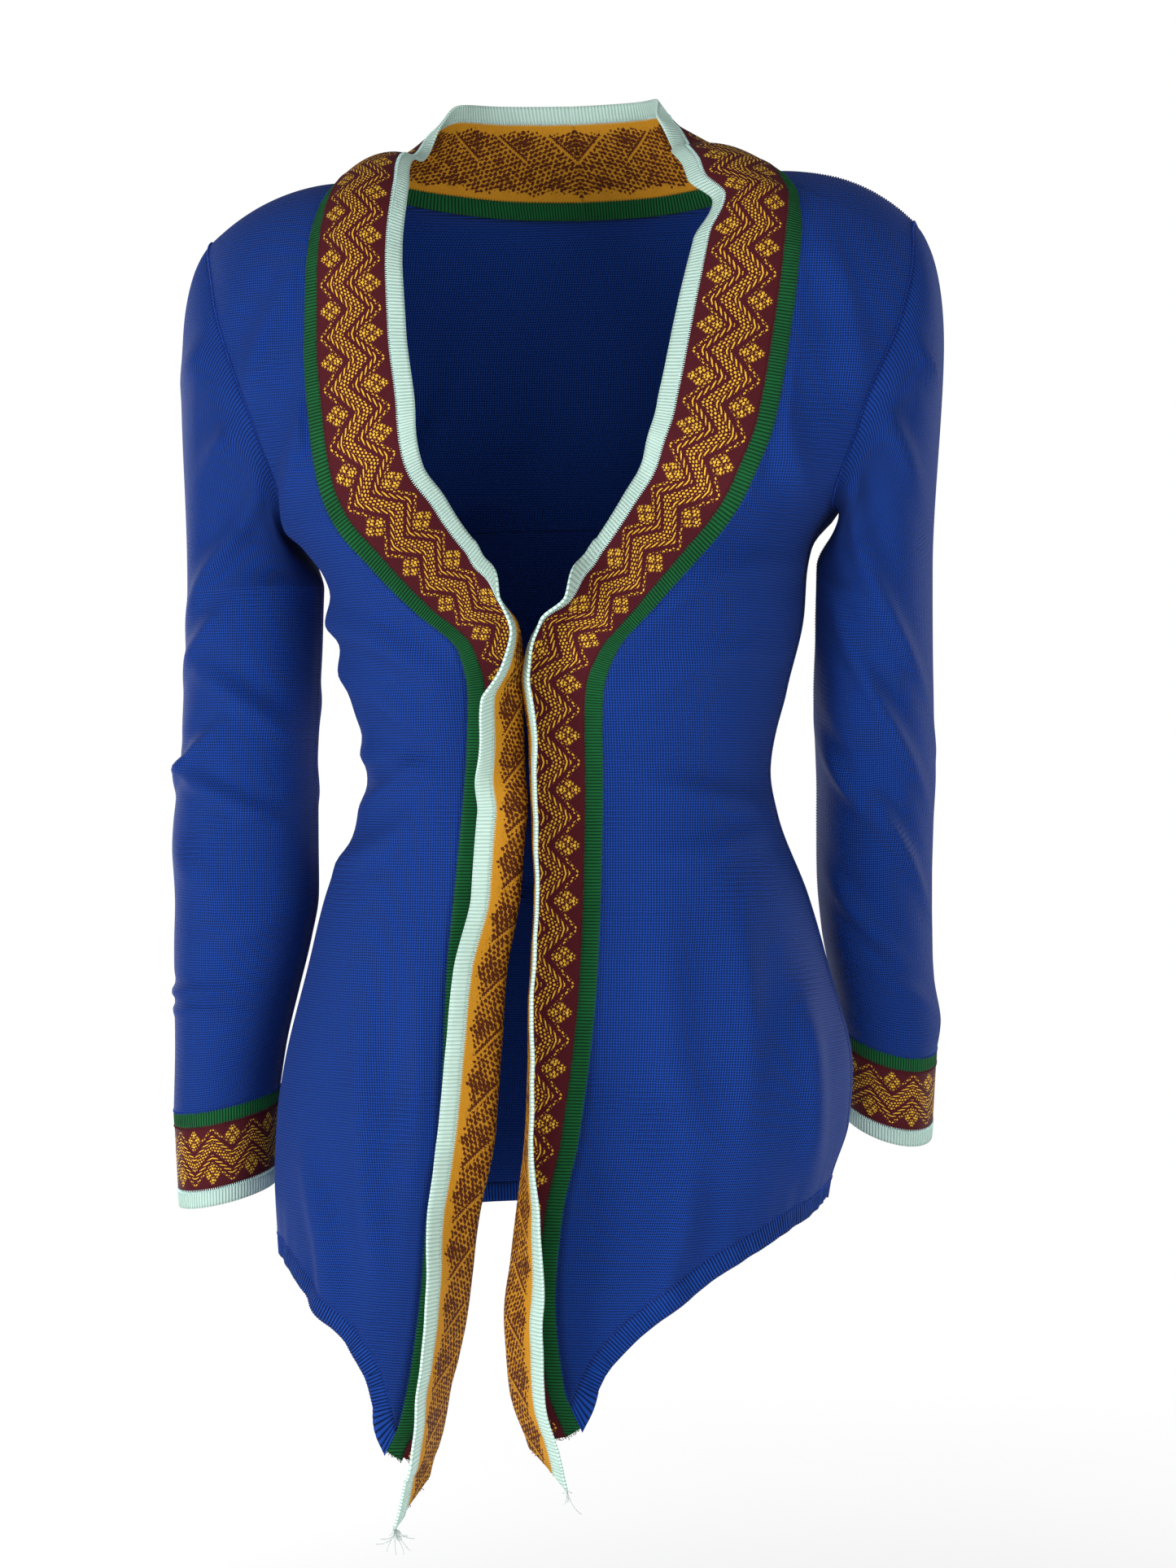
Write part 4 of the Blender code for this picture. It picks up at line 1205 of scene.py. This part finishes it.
def make_hem(name, node, line, out, above, side=None):
    """The ribbed strip below a panel, at right angles to its lower edge but for its corners."""
    corner_length, rib_height = 16, 0.55
    length = lengths(line)
    places = np.arange(0, length[-1], HEM_PITCH / 4)

    def along_line(values):
        return np.stack([np.interp(places, length, values[:, i]) for i in range(3)], axis=-1)

    points, normals = along_line(line), unit(along_line(out))
    ends = [unit(line[0] - above[0]), unit(line[-1] - above[-1])]
    down = unit(np.cross(unit(np.gradient(points, axis=0)), normals))
    down *= np.sign(-down[:, 2:3])
    near = soft(0, corner_length, places)[:, None]
    down = unit(ends[0] * (1 - near) + down * near)
    far = soft(0, corner_length, length[-1] - places)[:, None]
    if side:
        corner = unit(seam_point(side, TIP[side]) - line[-1])
        down = unit(corner * (1 - far) + down * far) * (1 + (RIB_TIP - 1) * (1 - far))
    else:
        down = unit(ends[1] * (1 - far) + down * far)
    steps = np.linspace(0, 1, 5)[:, None, None]
    grid = points + down * HEM_RIB * steps
    normals = np.broadcast_to(normals, grid.shape)
    across = steps[..., 0] * HEM_RIB
    uv = np.stack(np.broadcast_arrays(across, places[None, :]), axis=-1)
    swell = ribs(places, HEM_PITCH, rib_height)[None, :] * soft(0, 0.12, steps[..., 0])
    piece = cloth(name, grid, normals, uv, BLUE_RIB, wall=BAND_WALL, swell=swell)
    declare(piece, node, "blue", (length[-1] * MM, HEM_RIB * MM), "stretched")


def make_back():
    """The back, in one piece from side seam to side seam."""
    halves = [back_half("left", BACK_COLUMNS), back_half("right", BACK_COLUMNS)[:, ::-1][:, 1:]]
    grid = np.concatenate(halves, axis=1)
    out = form_normals(grid, "back")
    out[-1] = shoulder_out(grid[-1])
    # Along the neck the wall's thickness points back and a little up
    neck = slice(BACK_COLUMNS // 2 + 1, -BACK_COLUMNS // 2 - 1)
    out[-1, neck] = unit(grid[-1, neck] * (0.3, 1, 0) + (0, 0, 30))
    for column, side in ((0, "left"), (-1, "right")):
        edge = grid[ARMHOLE_START:, column]
        out[:ARMHOLE_START, column] = (SIDES[side], 0, 0)
        out[ARMHOLE_START:, column] = armhole_out(side, edge)
        keep_line("armhole", edge, [(SIDES[side], 0, 0)])
    make_panel("back_panel", "back", grid, out, BACK_FOLDS, (0.06, 0.06), BACK_CUT)


# The bands

TIP = {"left": -716.0, "right": -699.0}

# The strips of the bands: the columns of their meshes, the space between the rows of these, and the ribs'
# pitch and height
BAND_COLUMNS = {"green": 4, "jacquard": 28, "mint": 4}
BAND_SPACING = {"green": GREEN_PITCH / 4, "jacquard": 2.4, "mint": MINT_PITCH / 4}
BAND_RIBS = {"green": (GREEN_PITCH, 0.5), "mint": (MINT_PITCH, 0.34)}
RIB_ROUNDING = 1.6

# The rows of a band are level down to a little above the panel's lowest row, and then slant to the raw end
BAND_CLEAR = 4
BAND_SLANT = 20


def ripple(side, run, along):
    """Slow uneven waves of the band's free part, growing from its seam to its mint edge."""
    height, calm, full = 0.28, 460, 580
    free = soft(GREEN_RIB, BAND, along) * soft(calm, full, run)
    start = 0.9 if side == "left" else 2.3
    waves = np.sin(run / 11.0 + start) + 0.6 * np.sin(run / 6.7 + 2.1 * start)
    waves = waves + 0.4 * np.sin(run / 4.1 + start)
    return height * waves * free


def rounded(near, far):
    """How full the ribs are at distances from both edges of their strip."""
    return soft(0, RIB_ROUNDING, near) * soft(0, RIB_ROUNDING, far)


def make_bands():
    """The three strips of each band, from its raw lower end to the middle of the back of the neck."""
    for side in SIDES:
        fine = np.arange(BAND_LIE["at"][0], NECK_SEAM["at"][-1] + 0.5, 1.0)
        middle = band_point(side, fine, np.full_like(fine, BAND / 2))
        run = lengths(middle)
        run = run[-1] - run
        low = ROWS[side]["seam"][0] + BAND_CLEAR
        level = low + BAND_SLANT

        def stations(spacing):
            """Stations at an even spacing along the middle of the band, up to the neck."""
            places = np.arange(0, np.interp(low, fine, run), spacing)
            return np.interp(places, run[::-1], fine[::-1])[::-1]

        def placed(at, widths):
            """Stations that slant to the raw lower end of the band."""
            ends = smooth(BAND_END, "width", side, widths)
            below = np.clip((level - at) / (level - low), 0, 1)[:, None]
            return np.where(below > 0, level + (ends - level) * below, at[:, None])

        strips = (
            ("green", 0.0, GREEN_RIB, GREEN),
            ("jacquard", GREEN_RIB, GREEN_RIB + JACQUARD, JACQUARD_KNIT[side]),
            ("mint", GREEN_RIB + JACQUARD, BAND, MINT),
        )
        for name, start, end, material in strips:
            widths = np.linspace(start, end, BAND_COLUMNS[name] + 1)
            at = placed(stations(BAND_SPACING[name]), widths)
            along = np.broadcast_to(widths, at.shape)
            out = band_out(side, at, along)
            run_here = np.interp(at, fine, run)
            grid = band_point(side, at, along) + out * ripple(side, run_here, along)[..., None]
            uv = np.stack([along - start, run_here], axis=-1)
            swell = 0.0
            if name in BAND_RIBS:
                swell = ribs(run_here, *BAND_RIBS[name]) * rounded(along - start, end - along)
            piece = cloth(f"{name}_strip_{side}", grid, out, uv, material, wall=BAND_WALL, swell=swell)
            size = ((end - start) * MM, float(run_here.max()) * MM)
            declare(piece, f"band_{name}_{side}", name, size, "folded")
            keep_line("raw end " + name, grid[0], unit(grid[0] - grid[1]))
            if name == "jacquard":
                for edge, column in (("green edge", 0), ("mint edge", -1)):
                    line, outward = grid[:, column], out[:, column]
                    keep_line(edge, line, outward)
                    keep_line(edge + " inside", line - outward * BAND_WALL, -outward)
                if side == "left":
                    keep_line("neck middle", grid[-1], out[-1])


# The sleeves

# The directions in which a sleeve leaves its armhole, at the shoulder tip and at the underarm
LEAVE_TIP = (0.42, 0.0, -0.43)
LEAVE_UNDERARM = (0.7, 0.0, -0.5)

# The millimetres round a sleeve in one degree, and what the creases' lift is multiplied by
DEGREE_ROUND = 0.6
CREASE_LIFT = 1.8


def tube_normals(side, rings):
    """Outward directions of a tube made of rings of points."""
    down = np.gradient(rings, axis=0)
    wrapped = np.concatenate([rings[:, -1:], rings, rings[:, :1]], axis=1)
    across = np.gradient(wrapped, axis=1)[:, 1:-1]
    return unit(np.cross(across, down)) * SIDES[side]


def ring(side, rings, height, angle):
    """One ring of a sleeve: starts at the outer side, then goes by the front, the inner side and the back."""
    row = {key: float(smooth(rings, "height", key, height)) for key in rings}
    pitch = float(smooth(rings, "height", "y", height + 1) - smooth(rings, "height", "y", height - 1)) / 2
    x = row["x"] + SIDES[side] * row["wide"] * np.cos(angle)
    y = row["y"] - row["deep"] * np.sin(angle)
    z = height - row["inner_up"] * np.cos(angle) + pitch * row["deep"] * np.sin(angle)
    return np.stack([x, y, z], axis=-1)


# Creases of the sleeves: the height and the angle round from the outer side, by the front, of their middle
SLEEVE_FOLDS = table(
    "side height angle slope width spread lift",
    (-1, -100, 60, 0.5, 9, 34, 2.4),
    (-1, -150, 95, 0.9, 8, 30, 2.0),
    (-1, -215, 80, 1.1, 8, 42, 2.6),
    (-1, -262, 60, 0.9, 7, 36, 1.8),
    (-1, -300, 95, -0.7, 7, 38, 2.4),
    (-1, -333, 45, 0.7, 5.5, 40, 2.8),
    (-1, -352, 75, -0.5, 5, 44, 2.6),
    (-1, -366, 110, 0.4, 5, 34, 1.8),
    (-1, -468, 62, 0.03, 3.0, 52, 2.2),
    (-1, -479, 66, 0.02, 2.6, 48, 1.9),
    (-1, -430, 110, 0.4, 8, 34, 1.8),
    (-1, -400, 60, -0.5, 9, 30, 1.4),
    (-1, -200, 270, 0.8, 9, 40, 2.4),
    (-1, -280, 250, 0.7, 8, 40, 2.6),
    (-1, -350, 300, -0.4, 7, 40, 2.2),
    (-1, -370, 250, -0.6, 7, 40, 2.6),
    (-1, -450, 280, 0.3, 8, 44, 1.8),
    (1, -110, 60, 0.8, 9, 30, 2.2),
    (1, -160, 80, 1.0, 9, 34, 2.4),
    (1, -215, 100, 1.4, 10, 40, 3.2),
    (1, -262, 60, 1.5, 8, 34, 2.4),
    (1, -305, 75, 1.7, 9, 38, 3.0),
    (1, -350, 110, 1.2, 7, 34, 2.2),
    (1, -380, 60, 1.5, 8, 36, 2.6),
    (1, -430, 90, 1.0, 7, 34, 2.0),
    (1, -465, 60, 0.5, 5, 34, 1.6),
    (1, -210, 260, -0.9, 9, 40, 2.4),
    (1, -290, 250, -0.9, 9, 40, 2.8),
    (1, -345, 290, 0.5, 7, 42, 2.6),
    (1, -380, 260, 0.6, 7, 40, 2.6),
    (1, -440, 280, -0.4, 8, 40, 1.8),
)


def sleeve_creases(grid, turn, sign):
    """How far the creases lift the sleeve, by the height of its points and their angle round it."""
    lift = np.zeros(grid.shape[:2])
    for fold in rows_of(SLEEVE_FOLDS):
        if fold["side"] == sign:
            around = (turn - fold["angle"] + 180) % 360 - 180
            across = grid[..., 2] - fold["height"] - fold["slope"] * around * DEGREE_ROUND
            rise = CREASE_LIFT * fold["lift"] * profile(across, fold["width"], 1.4, 2)
            lift += rise * np.exp(-((around / fold["spread"]) ** 2))
    return lift


def make_sleeves():
    """Both sleeves: rings of points that leave the armhole in a smooth cap and go down to the cuff."""
    for side, sign in SIDES.items():
        front = front_grid(side, 2)[ARMHOLE_START:, 0]
        back = back_half(side, 2)[ARMHOLE_START:, 0]
        keep_line("armhole", front, [(sign, 0, 0)])
        armhole = np.concatenate([front[::-1], back[1:-1]])
        share = [lengths(line) / lengths(line)[-1] for line in (front[::-1], back)]
        angle = np.concatenate([share[0], 1 + share[1][1:-1]]) * math.pi
        rings = SLEEVE_LEFT if side == "left" else SLEEVE_RIGHT
        heights = np.linspace(rings["height"][0], rings["height"][-1], SLEEVE_RINGS)
        rows = [ring(side, rings, height, angle) for height in heights]
        first, second = (ring(side, rings, height, angle) for height in rings["height"][:2])
        mix = ((1 - np.cos(angle)) / 2)[:, None]
        leave = (np.array(LEAVE_TIP) * (1 - mix) + np.array(LEAVE_UNDERARM) * mix) * (sign, 1, 1)
        arrive = unit(second - first)
        span = np.linalg.norm(first - armhole, axis=1)[:, None]
        cap = []
        for t in np.linspace(0, 1, CAP_RINGS + 1)[:-1]:
            a, b = 2 * t**3 - 3 * t**2 + 1, t**3 - 2 * t**2 + t
            c, d = -2 * t**3 + 3 * t**2, t**3 - t**2
            cap.append(a * armhole + b * leave * span + c * first + d * arrive * span)
        grid = np.array(cap + rows)
        out = tube_normals(side, grid)
        out[0] = armhole_out(side, armhole)
        # The creases die out over the first rings and over the last six
        number = np.arange(len(grid))[:, None]
        lift = sleeve_creases(grid, np.degrees(angle)[None, :], sign)
        lift *= soft(2, 16, number) * soft(0, 6, len(grid) - 1 - number)
        grid = grid + out * lift[..., None]
        girth = np.linalg.norm(np.roll(grid, -1, axis=1) - grid, axis=-1).sum(axis=1).mean()
        around = np.append(angle, 2 * math.pi) / (2 * math.pi) * girth
        run = lengths(grid[:, 0])
        uv = np.stack(np.broadcast_arrays(around[None, :], run[:, None]), axis=-1)
        piece = cloth("sleeve_tube_" + side, grid, out, uv, BLUE, closed=True)
        declare(piece, "sleeve_" + side, "blue", held="hung", **SLEEVE_CUT)
        inner = int(np.argmin(np.abs(angle - math.pi)))
        keep_line("sleeve", grid[:, inner], out[:, inner])
        make_cuff(side, grid[-1], angle)


# The strips of a cuff from its top: rows of the mesh, knitting, pitch of its ribs, and the seam above it
CUFF_STRIPS = (
    ("green", 4, GREEN, GREEN_PITCH, "cuff top"),
    ("jacquard", 10, CUFF_KNIT, None, "green edge"),
    ("mint", 4, MINT, MINT_PITCH, "mint edge"),
)
CUFF_RIB = 0.45


def make_cuff(side, top, angle):
    """Three knitted strips, one below the other, round the wrist."""
    drop = {key: float(values[0 if side == "left" else 1]) for key, values in CUFF_DROP.items()}
    centre = top.mean(axis=0)
    down = np.array([drop["down_x"], drop["down_y"], drop["down_z"]])
    whole = CUFF_GREEN + CUFF_JACQUARD + CUFF_MINT
    turn = np.linspace(0, 2 * math.pi, CUFF_POINTS, endpoint=False)
    closed_angle = np.append(angle, 2 * math.pi)
    closed_top = np.concatenate([top, top[:1]])
    circle = np.stack([np.interp(turn, closed_angle, closed_top[:, i]) for i in range(3)], axis=-1)
    girth = lengths(np.concatenate([circle, circle[:1]]))[-1]
    around = np.linspace(0, girth, CUFF_POINTS + 1)
    repeats = round(girth / CUFF_REPEAT)

    def at(length):
        """The ring of points at a length down the cuff."""
        share = length / whole
        narrow = 1 + (drop["narrowing"] - 1) * share
        return centre + (circle - centre) * np.array([narrow, narrow, 1]) + down * share

    ends = np.cumsum([0, CUFF_GREEN, CUFF_JACQUARD, CUFF_MINT])
    for number, (name, rows, material, pitch, seam) in enumerate(CUFF_STRIPS):
        across = np.linspace(ends[number], ends[number + 1], rows + 1)
        grid = np.array([at(length) for length in across])
        out = tube_normals(side, grid)
        local = across - ends[number]
        swell = 0.0
        uv = [local[:, None], around[None, :]]
        if pitch:
            pitch = girth / round(girth / pitch)
            swell = ribs(around[:-1], pitch, CUFF_RIB)[None, :] * rounded(local, local[-1] - local)[:, None]
        else:
            uv = [local[:, None] * JACQUARD / CUFF_JACQUARD, around[None, :] / girth * repeats * REPEAT]
        uv = np.stack(np.broadcast_arrays(*uv), axis=-1)
        title = f"cuff_{name}_strip_{side}"
        piece = cloth(title, grid, out, uv, material, wall=BAND_WALL, closed=True, swell=swell)
        size = (girth * MM, max(float(local[-1]), 10.0) * MM)
        declare(piece, f"cuff_{name}_{side}", name, size, "stretched")
        line = np.concatenate([grid[0], grid[0][:1]])
        keep_line(seam, line, np.concatenate([out[0], out[0][:1]]))


# The sewing

# How far a stitch may be turned from its seam's lean, in radians
STITCH_SPREAD = 0.12

# Kind of seam, its slot and thread, and the pitch, length, thickness and lean of its stitches
SEAMS = (
    ("armhole", "blue", BLUE_THREAD, 1.5, 2.8, 0.95, 0.5),
    ("shoulder", "blue", BLUE_THREAD, 1.5, 2.4, 0.8, 0.5),
    ("side", "blue", BLUE_THREAD, 1.7, 2.0, 0.6, 0.4),
    ("sleeve", "blue", BLUE_THREAD, 1.7, 2.0, 0.6, 0.4),
    ("hem", "blue", BLUE_THREAD, 1.9, 1.6, 0.6, 0.0),
    ("border", "blue", BLUE_THREAD, 1.75, 1.5, 0.55, 0.3),
    ("cuff top", "blue", BLUE_THREAD, 1.75, 1.5, 0.55, 0.3),
    ("green edge", "jacquard", WINE_THREAD, 1.5, 1.4, 0.6, 0.2),
    ("green edge inside", "green", GREEN_THREAD, 1.75, 1.5, 0.6, 0.2),
    ("mint edge", "mint", MINT_THREAD, 1.25, 1.9, 0.6, 0.1),
    ("mint edge inside", "mint", MINT_THREAD, 1.25, 1.7, 0.6, 0.1),
    ("neck middle", "jacquard", WINE_THREAD, 1.5, 1.6, 0.6, 0.2),
)


def make_sewing():
    """A row of stitches along each seam, each turned a little at random from a seed of its own."""
    for kind, slot, thread, pitch, length, thickness, lean in SEAMS:
        name = kind.replace(" ", "_") + "_stitches"
        sizes = {"Pitch": pitch * MM, "Length": length * MM, "Thickness": thickness * MM}
        turn = {"Lean": lean, "Spread": STITCH_SPREAD, "Seed": len(name)}
        worked(name, SEAM_LINES[kind], slot, SEWING, Thread=thread, **sizes, **turn)


# Loose thread ends: the strip, how many on the left and on the right, their least and greatest length, their
# thickness, and how far from the strip's last corner they are spread, as a share of its width
FRAYS = (
    ("mint", "mint", FRAYED, (26, 7), 5, 19, 0.36, 0.3),
    ("jacquard", "jacquard", WINE_THREAD, (34, 34), 1.2, 3.2, 0.4, 1.0),
    ("green", "green", GREEN_THREAD, (9, 9), 1.0, 2.6, 0.4, 1.0),
)
FRAY_SEED = 11
FRAY_STEPS = 12
FRAY_ROOT = 1.2
FRAY_SPIN = 0.12
FRAY_CURL = 0.16
FRAY_SAG = 0.04


def curled(root, out, heading, length, chance):
    """A thread end from inside the cloth out, which turns and curls by chance on its way."""
    spin, curl = chance.normal(0, 1, 3), chance.normal(0, 1, 3)
    points = [root - out * FRAY_ROOT, root]
    for step in np.linspace(0, 1, FRAY_STEPS):
        points.append(points[-1] + heading * length / FRAY_STEPS)
        turned = heading + np.cross(heading, spin) * FRAY_SPIN
        heading = unit(turned + curl * step * FRAY_CURL - (0, 0, FRAY_SAG))
    return np.array(points), heading


def make_frays():
    """Curling thread ends that hang from the raw lower ends of the bands."""
    chance = np.random.default_rng(FRAY_SEED)
    for strip, slot, thread, counts, short, long, thickness, spread in FRAYS:
        lines = []
        for (line, out), count in zip(SEAM_LINES["raw end " + strip], counts):
            # The ends hang down and lean to the +X side, most of all on the left
            aside = 0.55 if line[0, 0] < 0 else 0.1
            for number in range(count):
                place = (1 - spread * (number + chance.uniform(0.1, 0.9)) / count) * (len(line) - 1)
                index = int(place)
                root = line[index] + (line[index + 1] - line[index]) * (place - index)
                heading = unit(out[index] + (aside, -0.1, -0.6) + chance.normal(0, 0.2, 3))
                length = short + (long - short) * chance.random() ** 1.3
                lines.append(curled(root, out[index], heading, length, chance))
        worked(f"frayed_ends_{strip}", lines, slot, THREADS, Thread=thread, Thickness=thickness * MM)


# The studio


def make_studio():
    """A pale floor that fades out around the garment, soft lamps and a white surround."""
    floor = bpy.data.meshes.new("studio_floor")
    radius, solid, level = 2.6, 1.1, -1.05
    turns = np.linspace(0, 2 * math.pi, 96, endpoint=False)
    points = [(radius * math.cos(turn), radius * math.sin(turn), level) for turn in turns]
    floor.from_pydata(points, [], [tuple(range(len(points)))])
    plane = add_object("studio_floor", floor)
    paint = Yarn("pale floor", roughness=0.9, sheen=0.0)
    paint.put(paint.shader.inputs["Base Color"], (0.98, 0.98, 0.98, 1))
    place = paint.node("ShaderNodeTexCoord", output="Object")
    away = paint.node("ShaderNodeVectorMath", {0: place}, output="Value", operation="LENGTH")
    paint.put(paint.shader.inputs["Alpha"], paint.step(radius, solid, away))
    floor.materials.append(paint.material)
    # Name, place, width and power of each lamp
    lamps = (
        ("key", (-2.0, -2.1, -0.6), 1.2, 66),
        ("fill", (1.9, -2.3, -0.7), 1.2, 36),
        ("low", (0.1, -2.4, -0.95), 1.4, 20),
        ("back left", (-1.9, 2.0, -0.3), 1.3, 44),
        ("back right", (1.9, 2.1, -0.3), 1.3, 34),
    )
    target = np.array([0, 0, -0.35])
    for name, place, size, power in lamps:
        light = bpy.data.lights.new(name, "AREA")
        light.size = size
        light.energy = power
        lamp = add_object(name, light)
        lamp.location = place
        aim = target - np.array(place)
        tilt, round_to = math.acos(-aim[2] / np.linalg.norm(aim)), math.atan2(aim[1], aim[0])
        lamp.rotation_euler = (tilt, 0, round_to - math.pi / 2)
    world = bpy.data.worlds.new("studio")
    world.use_nodes = True
    surround = Tree(world.node_tree)
    background = world.node_tree.nodes["Background"]
    background.inputs["Color"].default_value = (1, 1, 1, 1)
    seen = surround.node("ShaderNodeLightPath", output="Is Camera Ray")
    surround.put(background.inputs["Strength"], seen * 0.6 + 0.4)
    bpy.context.scene.world = world
    bpy.context.scene.view_settings.view_transform = "Standard"


def make_camera():
    """Level, ten degrees round from the front, at the distance from which the garment fills the frame."""
    turn = math.radians(10)
    distance, aside, height = 2.2, 0.0182, -0.3479
    film, seen_height = 36, 0.8962
    lens = bpy.data.cameras.new("camera")
    lens.sensor_fit = "VERTICAL"
    lens.sensor_height = film
    lens.lens = film * distance / seen_height
    camera = add_object("camera", lens)
    camera.location = (
        aside * math.cos(turn) + distance * math.sin(turn),
        aside * math.sin(turn) - distance * math.cos(turn),
        height,
    )
    camera.rotation_euler = (math.pi / 2, 0, turn)
    bpy.context.scene.camera = camera


make_fronts()
make_back()
make_bands()
make_sleeves()
make_sewing()
make_frays()
make_studio()
make_camera()
